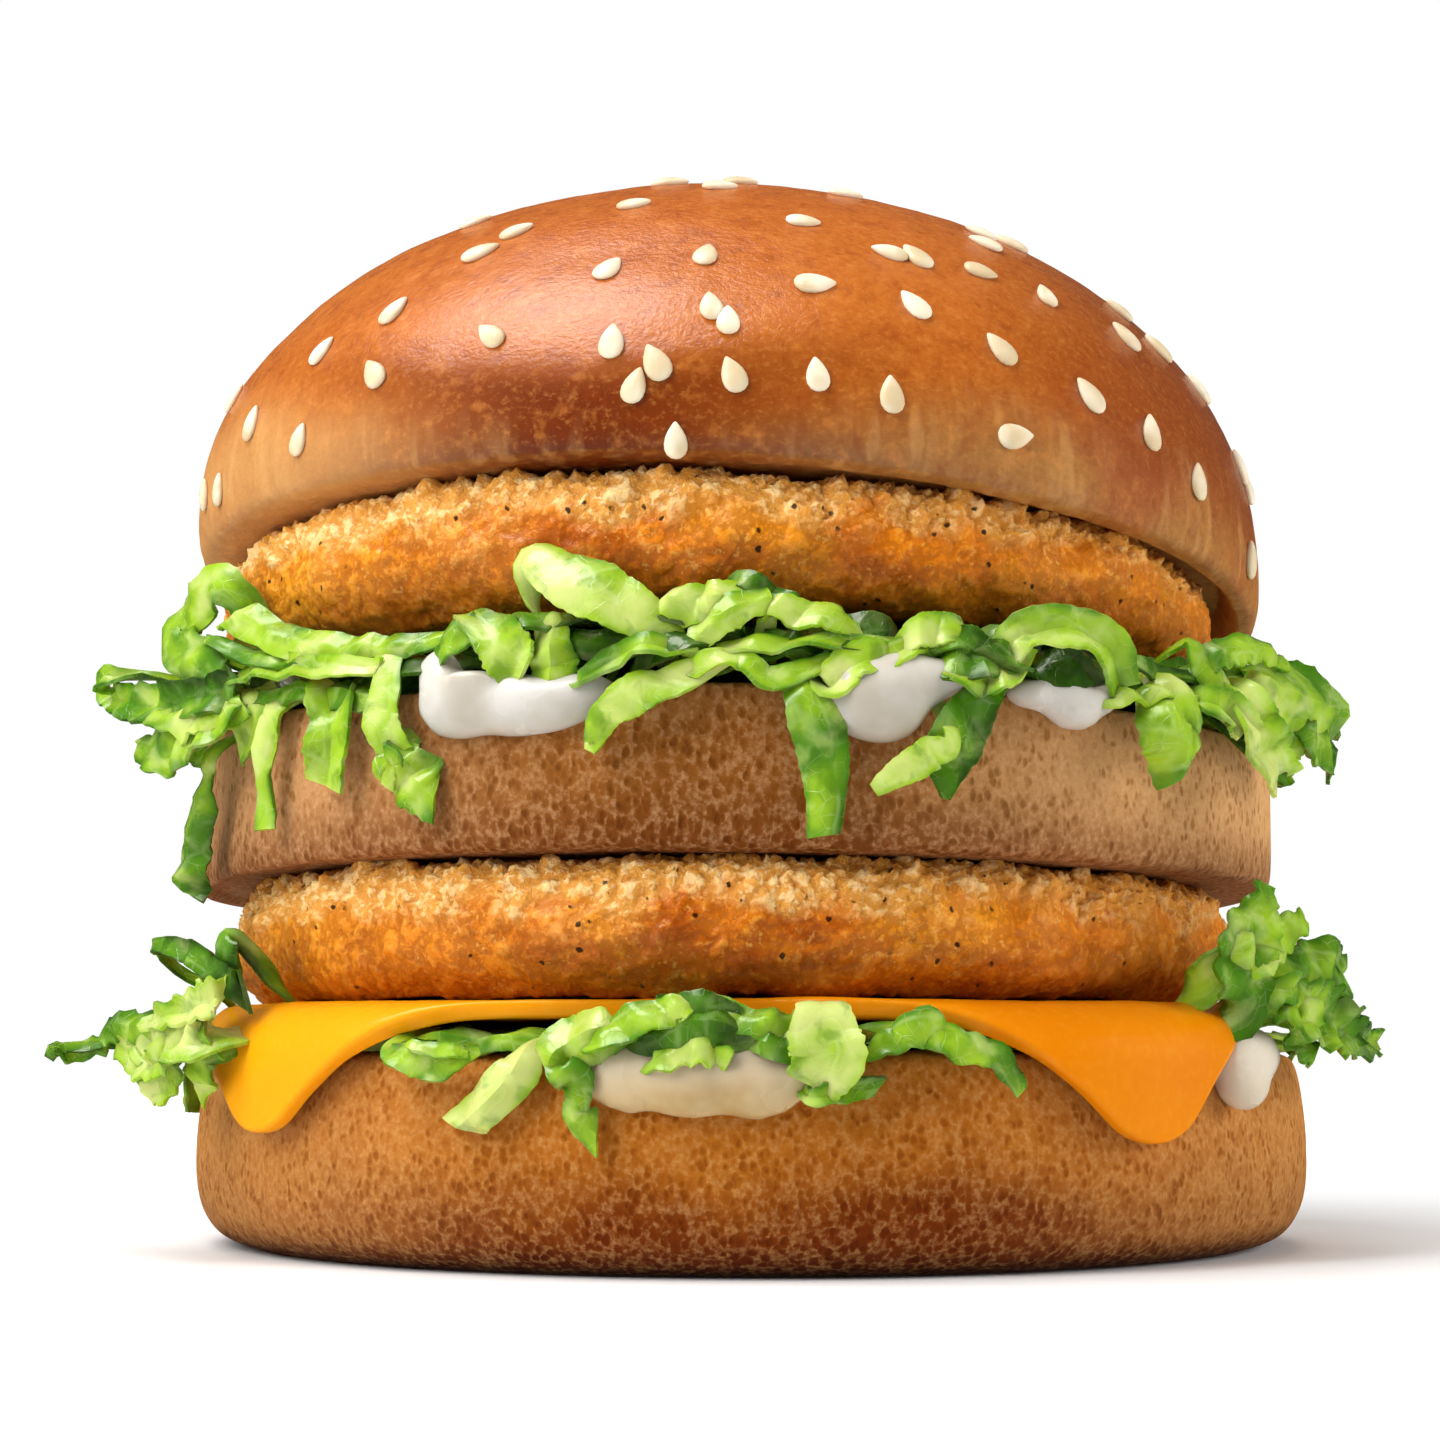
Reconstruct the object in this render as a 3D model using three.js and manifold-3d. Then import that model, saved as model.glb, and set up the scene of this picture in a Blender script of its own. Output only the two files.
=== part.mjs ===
// Double chicken burger: a three-layer sesame bun with two breaded patties, shredded lettuce,
// mayonnaise and one slice of cheese. Millimetres, +Z up, the front looks along -Y.
// Origin: the middle of the flat foot of the bottom bun.

import * as THREE from 'three';
import { mergeVertices } from 'three/addons/utils/BufferGeometryUtils.js';
import Module from 'manifold-3d';

const wasm = await Module();
wasm.setup();

// ---------------------------------------------------------------------------------------------
// Driving dimensions
// ---------------------------------------------------------------------------------------------

const GAP = 0.3; // air left between two pieces that touch

const BUN_SIDES = 40;
const BOTTOM_BUN = { radius: 52, foot: 46.5, top: 17.5, dish: 1.5, dishRadius: 48 };
const MIDDLE_BUN = { radius: 50.7, shift: -1.3, sag: 1.8 };
const CROWN = { radius: 50.7, foot: 46.6, shift: -1.9, brow: 4.3, dome: 33.8, lean: -0.04 };
const PATTY = { radius: 46.4, flat: 38, relief: 0.42, sides: 48 };
const LOWER_PATTY_SHIFT = { x: -1.8, y: -2.9 };
const UPPER_PATTY_SHIFT = { x: -2.6, y: -2.9 };
const CHEESE = { side: 88, corner: 7, thick: 1.7, turn: 7, forward: 3.5, lip: 49.2, bend: 4.2 };
const SPREAD = { radius: 43, thick: 0.5, tongue: 10.6 };
const SLACK = 0.06; // keeps two cut faces from lying in one plane
const HEAP = { radius: 46.8, ragged: 1.8, lowerTop: 19.2 };
const SHRED_THICK = 0.8;
const ROOT = 43.5; // shreds start at this radius, inside the core
const LOW = HEAP.lowerTop - 0.12; // height of a lower shred's root
const SEED = { count: 72, length: 3.1, width: 2, height: 1.7, sunk: 0.45 };

// Faces between the layers: height on the axis, rise to the right and rise to the back
const level = (height, right, back) => (x, y) => height + right * x + back * y;
const LOWER_PATTY_BASE = level(21.8, 0, 0);
const MIDDLE_BUN_BASE = level(32.2, -0.008, -0.015);
const MIDDLE_BUN_TOP = level(44.6, -0.012, -0.03);
const UPPER_PATTY_BASE = level(51.0, -0.006, -0.03);
const CROWN_BASE = level(61.1, -0.03, -0.062);

// ---------------------------------------------------------------------------------------------
// Small tools
// ---------------------------------------------------------------------------------------------

const radians = THREE.MathUtils.degToRad;
const clamp = THREE.MathUtils.clamp;
const UP = new THREE.Vector3(0, 0, 1);

// Seeded draw from 0 to 1 for item i, property k
function draw(i, k) {
  const wave = Math.sin(i * 127.1 + k * 311.7) * 43758.5453;
  return wave - Math.floor(wave);
}

// Bearing round the burger: 0 at the front, positive to the right
const bearing = (x, y) => Math.atan2(x, -y);

function polar(degrees, radius, height) {
  const angle = radians(degrees);
  return new THREE.Vector3(radius * Math.sin(angle), -radius * Math.cos(angle), height);
}

// A face moved up or down by some millimetres
const raised = (face, by) => (x, y) => face(x, y) + by;

// Moves every vertex of a geometry with one function
function warped(geometry, move) {
  const place = geometry.attributes.position;
  const point = new THREE.Vector3();
  for (let i = 0; i < place.count; i += 1) {
    point.fromBufferAttribute(place, i);
    move(point);
    place.setXYZ(i, point.x, point.y, point.z);
  }
  return geometry;
}

// A turned solid: the outline runs from the axis at the bottom to the axis at the top
function turned(outline, sides, move) {
  const points = outline.map(([radius, height]) => new THREE.Vector2(radius, height));
  const geometry = new THREE.LatheGeometry(points, sides);
  geometry.rotateX(Math.PI / 2);
  return warped(geometry, move);
}

// Spreads heights from 0 to 1 between two faces
const between = (low, high) => (point) => {
  const bottom = low(point.x, point.y);
  point.z = bottom + point.z * (high(point.x, point.y) - bottom);
};

// A closed geometry with shared vertices becomes a solid that can be joined and cut
function solid(geometry) {
  const bare = geometry.clone();
  bare.deleteAttribute('normal');
  bare.deleteAttribute('uv');
  const merged = mergeVertices(bare, 1e-4);
  const corners = merged.index.array;
  const triVerts = [];
  for (let i = 0; i < corners.length; i += 3) {
    const [a, b, c] = corners.slice(i, i + 3);
    if (a !== b && b !== c && c !== a) triVerts.push(a, b, c);
  }
  return new wasm.Manifold(new wasm.Mesh({
    numProp: 3,
    vertProperties: merged.attributes.position.array,
    triVerts: new Uint32Array(triVerts),
  }));
}

// The largest connected piece of a solid, so that no loose scrap is left
function largest(body) {
  return body.decompose().reduce((best, next) => (next.volume() > best.volume() ? next : best));
}

function geometryOf(body) {
  const mesh = body.getMesh();
  const geometry = new THREE.BufferGeometry();
  geometry.setAttribute('position', new THREE.BufferAttribute(mesh.vertProperties, 3));
  geometry.setIndex(new THREE.BufferAttribute(mesh.triVerts, 1));
  geometry.computeVertexNormals();
  return geometry;
}

// A thin solid on both sides of a middle surface: both faces are split into triangles alike
function sheet(columns, rows, middle, thickness) {
  const grid = new THREE.PlaneGeometry(1, 1, columns, rows);
  const spots = grid.attributes.position;
  const count = spots.count;
  const step = 1e-3;
  const places = new Float32Array(count * 6);
  for (let i = 0; i < count; i += 1) {
    const u = spots.getX(i) + 0.5;
    const v = spots.getY(i) + 0.5;
    const centre = middle(u, v);
    const along = middle(u + step, v).sub(middle(u - step, v));
    const across = middle(u, v + step).sub(middle(u, v - step));
    const normal = along.cross(across).setLength(thickness / 2);
    centre.clone().add(normal).toArray(places, i * 3);
    centre.clone().sub(normal).toArray(places, (count + i) * 3);
  }
  const front = Array.from(grid.index.array);
  const corners = [...front];
  const edges = new Set();
  for (let i = 0; i < front.length; i += 3) {
    const [a, b, c] = front.slice(i, i + 3);
    corners.push(c + count, b + count, a + count);
    edges.add(`${a},${b}`).add(`${b},${c}`).add(`${c},${a}`);
  }
  for (const edge of edges) {
    const [a, b] = edge.split(',').map(Number);
    if (!edges.has(`${b},${a}`)) corners.push(b, a, a + count, b, a + count, b + count);
  }
  const geometry = new THREE.BufferGeometry();
  geometry.setAttribute('position', new THREE.BufferAttribute(places, 3));
  geometry.setIndex(corners);
  return geometry;
}

function named(name, geometry, colour, roughness) {
  const finish = new THREE.MeshStandardMaterial({ color: colour, roughness, metalness: 0 });
  const mesh = new THREE.Mesh(geometry, finish);
  mesh.name = name;
  return mesh;
}

// ---------------------------------------------------------------------------------------------
// Buns
// ---------------------------------------------------------------------------------------------

// Baked rounds are never quite circular: a slow wobble of about one percent
function wobble(point, amount, phase) {
  const angle = bearing(point.x, point.y);
  const scale = 1 + amount * (Math.sin(2 * angle + phase) + 0.7 * Math.sin(3 * angle + 2 * phase));
  point.x *= scale;
  point.y *= scale;
}

// Cut top of the bottom bun: pressed down a little in the middle by the layers above
function bottomBunTop(x, y) {
  const { top, dish, dishRadius } = BOTTOM_BUN;
  return top - dish * (1 - Math.min(1, (x * x + y * y) / dishRadius ** 2));
}

function bottomBun(grow = 0) {
  const { radius, foot, top } = BOTTOM_BUN;
  const outline = [
    [0, 0], [foot, 0], [foot + 2.4, 0.7], [foot + 4, 2.1], [foot + 5, 4.2], [radius - 0.1, 7],
    [radius, 10], [radius - 0.4, 14], [radius - 0.9, 16.2], [radius - 2.2, top], [42, top],
    [22, top], [0, top],
  ];
  const grown = outline.map(([r, z]) => [r && r + grow, z && z + grow]);
  return turned(grown, BUN_SIDES, (point) => {
    if (point.z > top - 0.1) point.z = bottomBunTop(point.x, point.y) + grow;
    if (point.z > 0.01) wobble(point, 0.005, 0.9);
  });
}

function middleBun(grow = 0) {
  const { radius, shift } = MIDDLE_BUN;
  const outline = [
    [0, 0], [radius - 2, 0], [radius - 0.7, 0.05], [radius - 0.15, 0.2], [radius, 0.5],
    [radius - 0.1, 0.8], [radius - 0.6, 0.95], [radius - 1.7, 1], [0, 1],
  ];
  const spread = between(raised(MIDDLE_BUN_BASE, -grow), raised(MIDDLE_BUN_TOP, grow));
  const grown = outline.map(([r, z]) => [r && r + grow, z]);
  return turned(grown, BUN_SIDES, (point) => {
    const rim = clamp((Math.hypot(point.x, point.y) - radius + 2) / 2, 0, 1) * (1 - point.z);
    const sag = MIDDLE_BUN.sag * rim * Math.max(0, -Math.sin(bearing(point.x, point.y))) ** 4;
    wobble(point, 0.004, 2.3);
    point.x += shift;
    spread(point);
    point.z -= sag;
  });
}

// The crown's rim hangs lowest at the right and at the back: millimetres for a bearing
const rimDroop = (angle) => Math.max(0, 2.1 + 1.3 * Math.sin(angle) - 2 * Math.cos(angle));

// Dome of the crown over its widest line: rise runs from 0 at the brow to 90 degrees at the top
function domePoint(rise) {
  const { radius, brow, dome } = CROWN;
  return [radius * Math.cos(radians(rise)), brow + dome * Math.sin(radians(rise))];
}

// Sets a point of the upright crown in its place: its foot follows the patty under it, fading
// out over the lower part of the dome, and its rim hangs over the patty's edge
function setCrown(point) {
  const { foot, shift, lean } = CROWN;
  const reach = Math.hypot(point.x, point.y);
  const outer = clamp((reach - foot - 0.2) / 1.6, 0, 1);
  const drop = outer * clamp(1 - point.z / 7, 0, 1) * rimDroop(bearing(point.x, point.y));
  wobble(point, 0.004, 4.1);
  point.x += shift + lean * point.z;
  const middle = CROWN_BASE(shift, 0);
  const follow = clamp(1 - point.z / 22, 0, 1);
  point.z += middle + (CROWN_BASE(point.x, point.y) - middle) * follow - drop;
}

function crown() {
  const { radius, foot } = CROWN;
  const rim = [
    [0, 0], [foot, 0], [foot + 1.6, 0.05], [radius - 1.5, 0.3], [radius - 0.6, 1.2],
    [radius - 0.2, 2.6],
  ];
  const rises = [0, 11, 22, 34, 46, 58, 69, 79];
  const outline = [...rim, ...rises.map(domePoint), [0, domePoint(90)[1]]];
  return turned(outline, BUN_SIDES, setCrown);
}

// One sesame seed: a flat drop, pointed at one end, its round end along -X
function seed(index) {
  const { length, width, height } = SEED;
  const size = 0.88 + 0.24 * draw(index, 5);
  const geometry = new THREE.SphereGeometry(0.5, 4, 3);
  geometry.rotateZ(Math.PI / 2);
  return warped(geometry, (point) => {
    const taper = 1.04 - 0.62 * point.x;
    point.set(point.x * length * size, point.y * width * taper * size, point.z * height * size);
  });
}

// Seeds lie on a golden-angle spiral over the dome, with some jitter, thinner near the rim
function seedPlace(index) {
  const share = (index + 0.5) / SEED.count;
  const tilt = Math.acos(1 - share ** 0.94 * (1 - Math.cos(radians(80))));
  const rise = clamp(90 - THREE.MathUtils.radToDeg(tilt) + 7 * (draw(index, 1) - 0.5), 5, 89.5);
  const angle = index * 137.508 + 22 * (draw(index, 2) - 0.5);
  const on = (lift, turn) => {
    const [radius, height] = domePoint(lift);
    const spot = polar(turn, radius, height);
    setCrown(spot);
    return spot;
  };
  const spot = on(rise, angle);
  const uphill = on(rise + 0.4, angle).sub(on(rise - 0.4, angle)).normalize();
  const sideways = on(rise, angle + 0.4).sub(on(rise, angle - 0.4)).normalize();
  const normal = sideways.clone().cross(uphill).normalize();
  const spin = 360 * draw(index, 3);
  const heading = sideways.applyAxisAngle(normal, radians(spin));
  const flank = normal.clone().cross(heading);
  spot.addScaledVector(normal, SEED.height * (0.5 - SEED.sunk));
  return new THREE.Matrix4().makeBasis(heading, flank, normal).setPosition(spot);
}

function seededCrown() {
  let body = solid(crown());
  for (let i = 0; i < SEED.count; i += 1) body = body.add(solid(seed(i).applyMatrix4(seedPlace(i))));
  return geometryOf(body);
}

// ---------------------------------------------------------------------------------------------
// Breaded chicken patties: rounds with a craggy crumb
// ---------------------------------------------------------------------------------------------

function crag(x, y, z) {
  const coarse = Math.sin(0.55 * x + 1.7 * Math.sin(0.21 * y)) * Math.sin(0.6 * y + 0.5 * z);
  const fine = Math.sin(1.31 * x - 0.9 * z) * Math.sin(1.13 * y + 0.7 * z + 1.2);
  return coarse + 0.7 * fine;
}

function patty(base, top, shift, phase, grow = 0) {
  const { radius, flat, relief, sides } = PATTY;
  const outline = [
    [0, 0], [radius - 3.4, 0], [radius - 1.1, 0.13], [radius - 0.1, 0.34],
    [radius, 0.56], [radius - 0.6, 0.76], [radius - 1.8, 0.91], [radius - 4, 1], [0, 1],
  ];
  const spread = between(raised(base, -grow), raised(top, grow));
  const grown = outline.map(([r, z]) => [r && r + grow, z]);
  return turned(grown, sides, (point) => {
    const share = point.z;
    const reach = Math.hypot(point.x, point.y);
    wobble(point, 0.006, phase);
    const bump = relief * crag(point.x, point.y, 9 * share + 5 * phase);
    const side = clamp((reach - flat) / 6, 0, 1);
    point.x += (point.x / (reach || 1)) * bump * side + shift.x;
    point.y += (point.y / (reach || 1)) * bump * side + shift.y;
    spread(point);
    point.z += 0.6 * bump * side * Math.sin(Math.PI * share);
  });
}

const lowerPatty = (grow) => patty(
  LOWER_PATTY_BASE, raised(MIDDLE_BUN_BASE, -GAP), LOWER_PATTY_SHIFT, 1.1, grow,
);

const upperPatty = (grow) => patty(
  UPPER_PATTY_BASE, raised(CROWN_BASE, -GAP), UPPER_PATTY_SHIFT, 2.9, grow,
);

// ---------------------------------------------------------------------------------------------
// Cheese slice: a soft square whose four corners fold down over the bottom bun
// ---------------------------------------------------------------------------------------------

// Rounds the corners of a square that reaches from -1 to 1
function roundedSquare(u, v, corner) {
  const inner = 1 - corner;
  const past = [Math.abs(u) - inner, Math.abs(v) - inner];
  if (past[0] <= 0 || past[1] <= 0) return [u, v];
  const scale = Math.max(...past) / Math.hypot(...past);
  return [Math.sign(u) * (inner + past[0] * scale), Math.sign(v) * (inner + past[1] * scale)];
}

// Folds a flat sheet down over a round lip: first an arc, then straight down
function folded(x, y, { lip, bend, height }) {
  const reach = Math.hypot(x, y);
  if (reach <= lip) return new THREE.Vector3(x, y, height);
  const past = reach - lip;
  const angle = Math.min(past / bend, radians(88));
  const rest = past - angle * bend;
  const out = lip + bend * Math.sin(angle) + rest * Math.cos(angle);
  const down = bend * (1 - Math.cos(angle)) + rest * Math.sin(angle);
  return new THREE.Vector3((x / reach) * out, (y / reach) * out, height - down);
}

function cheese(grow = 0) {
  const { side, corner, thick, turn, forward, lip, bend } = CHEESE;
  const half = side / 2 + grow;
  const height = LOWER_PATTY_BASE(0, 0) - GAP - thick / 2;
  const turning = radians(turn);
  const middle = (u, v) => {
    // finer cells towards the edges, where the corners fold
    const ease = (t) => Math.sin((t - 0.5) * Math.PI * 0.9) / Math.sin(Math.PI * 0.45);
    const [x, y] = roundedSquare(ease(u), ease(v), corner / half);
    const flat = new THREE.Vector3(x * half, y * half, 0).applyAxisAngle(UP, -turning);
    return folded(flat.x, flat.y - forward, { lip, bend, height });
  };
  return sheet(12, 12, middle, thick + 2 * grow);
}

// ---------------------------------------------------------------------------------------------
// Shredded lettuce: a flat core with the shreds that show fused on
// ---------------------------------------------------------------------------------------------

// One shred: its middle line through points [bearing, radius, height], a width, and the turn of
// its cross direction from sideways (0) to upright (90) past its flat root and at its end
function shred({ width, roll, lean = 0, cup = 0.12, line }, grow = 0) {
  const curve = new THREE.CatmullRomCurve3(line.map((stop) => polar(...stop)));
  const half = width / 2 + grow;
  const middle = (u, v) => {
    const along = clamp(u, 0, 1);
    const point = curve.getPoint(along);
    const forward = curve.getTangent(along);
    const outward = new THREE.Vector3(point.x, point.y, 0).normalize();
    const sideways = UP.clone().cross(outward);
    const upright = UP.clone().applyAxisAngle(sideways, radians(lean));
    const settled = clamp(along / 0.3, 0, 1);
    const turn = radians(settled * THREE.MathUtils.lerp(roll[0], roll[1], along));
    const across = sideways.multiplyScalar(Math.cos(turn)).addScaledVector(upright, Math.sin(turn));
    across.addScaledVector(forward, -across.dot(forward)).normalize();
    const facing = forward.clone().cross(across);
    const offset = (v - 0.5) * 2;
    const taper = 1 - 0.35 * Math.max(0, 2 * Math.abs(u - 0.5) - 0.4);
    point.addScaledVector(across, offset * half * taper);
    point.addScaledVector(facing, width * cup * (1 - offset * offset));
    return point.addScaledVector(forward, (u - along) * curve.getLength());
  };
  return sheet(5, 1, middle, SHRED_THICK + 2 * grow);
}

// Shreds that show at the front of the upper layer
const UPPER_SHREDS = [
  {
    width: 5.4, roll: [60, 100],
    line: [[-54, ROOT, 49.5], [-60, 52.5, 55], [-72, 54.5, 58], [-82, 54.5, 55]],
  },
  {
    width: 4.4, roll: [30, 60],
    line: [[-50, ROOT, 49], [-60, 52.5, 47.8], [-73, 57, 48.4], [-78, 60, 50.8]],
  },
  {
    width: 3.4, roll: [40, 80],
    line: [[-66, ROOT, 48.3], [-75, 55, 46.6], [-78, 56, 44.5], [-70, 54, 42]],
  },
  {
    width: 3.8, roll: [60, 0],
    line: [[-70, ROOT, 48], [-66, 52.8, 45.5], [-71, 53.6, 39], [-74, 53.2, 32]],
  },
  {
    width: 4.6, roll: [75, 90],
    line: [[-57, 50.5, 54.2], [-44, 51.5, 51.8], [-30, 51.8, 50.2], [-15, 49.5, 50]],
  },
  {
    width: 5, roll: [0, 0],
    line: [[-50, ROOT, 49], [-51, 50.5, 48.6], [-52, 52.8, 46], [-53, 52.9, 42.8]],
  },
  {
    width: 2.4, roll: [0, 0],
    line: [[-44, ROOT, 49], [-46, 51.5, 48], [-48.8, 53, 43.5], [-49.3, 52.8, 35.8]],
  },
  {
    width: 4.8, roll: [0, 0],
    line: [[-37, ROOT, 49], [-38, 51.5, 48.2], [-39.6, 53, 43.5], [-40.5, 53, 38.6]],
  },
  {
    width: 3.2, roll: [0, 0],
    line: [[-30, ROOT, 49.3], [-32, 53.4, 46], [-31, 53.8, 41.6], [-28, 53, 37.4]],
  },
  {
    width: 3.2, roll: [80, 80],
    line: [[-27, ROOT, 48.6], [-24.5, 52.6, 50], [-21, 52.8, 50.6], [-18, 48, 48.4]],
  },
  {
    width: 5.8, roll: [50, 90], lean: 25,
    line: [[-18, ROOT, 49.5], [-19, 51, 53.8], [-12, 52.6, 53.2], [-5, 49.5, 50]],
  },
  {
    width: 4.6, roll: [60, 100], lean: 20,
    line: [[-6, ROOT, 49.5], [-3, 51.8, 52.4], [3, 52.2, 52], [9.5, 48.5, 49.6]],
  },
  {
    width: 3.2, roll: [50, 80],
    line: [[-13.5, 53.4, 41.5], [-9, 54, 45.4], [-2, 53, 48], [7, 48.5, 49.6]],
  },
  {
    width: 3.4, roll: [0, 0],
    line: [[-1, ROOT, 49.2], [3, 53, 46.6], [5.2, 53.6, 40.5], [5, 53, 33.8]],
  },
  { width: 4, roll: [80, 80], line: [[8, ROOT, 49], [13, 52.4, 51], [18, 52.4, 50.6], [22, 47, 48.8]] },
  {
    width: 5, roll: [0, 10],
    line: [[21, ROOT, 49], [18.5, 53.2, 46.4], [15, 53.9, 41.5], [12.5, 53.2, 38]],
  },
  {
    width: 4.4, roll: [75, 90],
    line: [[21, ROOT, 48.5], [24.5, 52.6, 50.6], [30.5, 53, 50.6], [35, 52.4, 46.8]],
  },
  {
    width: 4.4, roll: [50, 20],
    line: [[35, ROOT, 48.6], [39, 52.6, 47.4], [42, 53.8, 44.6], [39.5, 53.2, 40.4]],
  },
  {
    width: 5, roll: [20, 50],
    line: [[46, ROOT, 49], [50, 52.6, 47.4], [55, 54.6, 44], [60, 54.8, 40.6]],
  },
  { width: 5.6, roll: [40, 80], line: [[49, ROOT, 49.6], [58, 53, 51], [68, 56, 51.4], [77, 57, 48]] },
];

// Shreds that show at the front of the lower layer
const LOWER_SHREDS = [
  {
    width: 2.8, roll: [60, 90],
    line: [[-86, ROOT, LOW], [-82, 54.6, 22.6], [-71, 56, 26.4], [-58, 53, 25.6]],
  },
  {
    width: 6, roll: [30, 10],
    line: [[-67, ROOT, LOW], [-72, 55, 18], [-77, 60.5, 17.6], [-78.5, 64, 18.2]],
  },
  {
    width: 2.8, roll: [60, 80],
    line: [[-34, ROOT, LOW], [-31, 53.4, 17.4], [-27.5, 53.6, 17], [-23.5, 53.4, 17.4]],
  },
  {
    width: 3.2, roll: [0, 20],
    line: [[-16, ROOT, LOW], [-18, 53, 17.8], [-21.5, 54, 14.6], [-25.5, 53.4, 11.4]],
  },
  {
    width: 3, roll: [40, 0],
    line: [[-12.5, ROOT, LOW], [-12.5, 53.4, 19], [-15.6, 55.4, 16], [-14, 54.4, 11.6]],
  },
  {
    width: 4.4, roll: [60, 80], lean: 20,
    line: [[-13, ROOT, LOW], [-11, 53.8, 19.6], [-3, 56.6, 20.4], [6, 55.8, 18.6]],
  },
  {
    width: 5.4, roll: [0, 20],
    line: [[5, ROOT, LOW], [5, 52.6, 18.9], [6, 55, 17], [7.6, 55, 13.8]],
  },
  {
    width: 2.8, roll: [70, 60],
    line: [[9, ROOT, LOW], [11, 53.8, 18], [15, 56, 18], [20.5, 56, 14.2]],
  },
  {
    width: 5.4, roll: [40, 90],
    line: [[46, ROOT, LOW], [52, 54, 22.5], [55, 56, 28], [60, 56.5, 26.5]],
  },
  {
    width: 6, roll: [60, 60],
    line: [[58, ROOT, LOW], [66, 54.5, 21.6], [73, 57.5, 24.6], [77, 59.5, 19]],
  },
];

// Shreds round the sides and the back, drawn by a rule: some run round, some stand out or hang
function drawnShreds(count, from, to, height, seedBase) {
  return Array.from({ length: count }, (_, i) => {
    const id = seedBase + i;
    const angle = from + ((to - from) * (i + 0.25 + 0.5 * draw(id, 1))) / count;
    const way = draw(id, 2) < 0.5 ? -1 : 1;
    const hang = 2 + 9 * draw(id, 3) ** 2;
    const out = 53.2 + 3.2 * draw(id, 4);
    const running = draw(id, 5) < 0.45;
    const stretch = way * (running ? 9 + 5 * draw(id, 6) : 2 + 3 * draw(id, 6));
    return {
      width: 2.6 + 2.6 * draw(id, 7),
      roll: running ? [40, 80] : [0, 15],
      line: [
        [angle, ROOT, height],
        [angle + 0.4 * stretch, out - 0.8, height + 0.6 * draw(id, 8)],
        [angle + 0.75 * stretch, out, height - 0.45 * hang],
        [angle + stretch, out, height - hang],
      ],
    };
  });
}

const UPPER_ALL = [...UPPER_SHREDS, ...drawnShreds(12, 88, 272, 48.2, 40)];
const LOWER_ALL = [...LOWER_SHREDS, ...drawnShreds(11, 90, 268, LOW, 80)];

function heap(low, high, shreds, phase, grow) {
  const { radius, ragged } = HEAP;
  const outline = [[0, 0], [22, 0], [radius - 2, 0], [radius, 0.5], [radius - 2, 1], [0, 1]];
  const spread = between(raised(low, -grow), raised(high, grow));
  const grown = outline.map(([r, z]) => [r && r + grow, z]);
  const core = turned(grown, 28, (point) => {
    const angle = bearing(point.x, point.y);
    const tufts = Math.sin(5 * angle + phase) * Math.sin(3 * angle + 2 * phase);
    const reach = Math.hypot(point.x, point.y);
    const scale = 1 + (ragged * tufts * clamp(reach - 30, 0, 1)) / (reach || 1);
    point.x *= scale;
    point.y *= scale;
    spread(point);
  });
  return shreds.reduce((body, one) => body.add(solid(shred(one, grow))), solid(core));
}

const lowerHeap = (grow = 0) => heap(
  raised(bottomBunTop, 2 * (GAP + SLACK) + SPREAD.thick), level(HEAP.lowerTop, 0, 0), LOWER_ALL, 0.4, grow,
);

const upperHeap = (grow = 0) => heap(
  raised(MIDDLE_BUN_TOP, 2 * (GAP + SLACK) + SPREAD.thick),
  raised(UPPER_PATTY_BASE, -GAP - SLACK),
  UPPER_ALL,
  1.9,
  grow,
);

// ---------------------------------------------------------------------------------------------
// Mayonnaise: a thin spread with drops that run over the edge of the bun
// ---------------------------------------------------------------------------------------------

// Tongues of the spread as [bearing, half width in degrees]
const UPPER_TONGUES = [[-24, 8], [12, 7], [29, 7]];
const LOWER_TONGUES = [[-5, 9], [50, 6]];

// Drops as [bearing, radius, height, deep, wide, tall]
const UPPER_DROPS = [
  [-28, 52, 44.8, 2.6, 4.4, 3.2], [-20.5, 52, 43.9, 2.5, 6, 2.4],
  [10.4, 52.2, 44.2, 3, 4.6, 3.5], [15.6, 52, 46, 2.6, 4, 2.2], [28, 52, 45, 2.6, 5, 2.5],
];
const LOWER_DROPS = [
  [-10.5, 52.6, 15, 2.5, 4.4, 3.3], [-5, 52.8, 15.1, 2.7, 4.6, 3.7],
  [0.8, 52.6, 15, 2.5, 4.4, 3.3], [50.5, 53, 16.2, 3.2, 4.4, 3.4],
];

function mayo(face, tongues, drops, shift) {
  const { radius, thick, tongue } = SPREAD;
  const outline = [
    [0, 0], [22, 0], [radius - 0.6, 0], [radius, 0.5], [radius - 0.6, 1], [22, 1], [0, 1],
  ];
  const spread = between(raised(face, GAP + SLACK), raised(face, GAP + SLACK + thick));
  const film = turned(outline, 32, (point) => {
    const angle = THREE.MathUtils.radToDeg(bearing(point.x, point.y));
    const pulls = tongues.map(([middle, half]) => Math.exp(-(((angle - middle) / half) ** 2)));
    const reach = Math.hypot(point.x, point.y);
    const edge = clamp((reach - 30) / (radius - 31), 0, 1);
    const scale = 1 + (edge * tongue * Math.max(...pulls)) / (reach || 1);
    wobble(point, 0.02, 1.4);
    point.x = point.x * scale + shift;
    point.y *= scale;
    spread(point);
  });
  return drops.reduce((body, [angle, reach, height, deep, wide, tall]) => {
    const drop = new THREE.SphereGeometry(1, 8, 5);
    drop.rotateX(Math.PI / 2);
    drop.scale(wide, deep, tall);
    drop.rotateZ(radians(angle));
    const place = polar(angle, reach, height);
    return body.add(solid(drop.translate(place.x, place.y, place.z)));
  }, solid(film));
}

// ---------------------------------------------------------------------------------------------
// Fitting: softer pieces give way to firmer ones, with the gap between them
// ---------------------------------------------------------------------------------------------

const cutBy = (body, others) => largest(others.reduce((rest, one) => rest.subtract(one), body));

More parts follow.
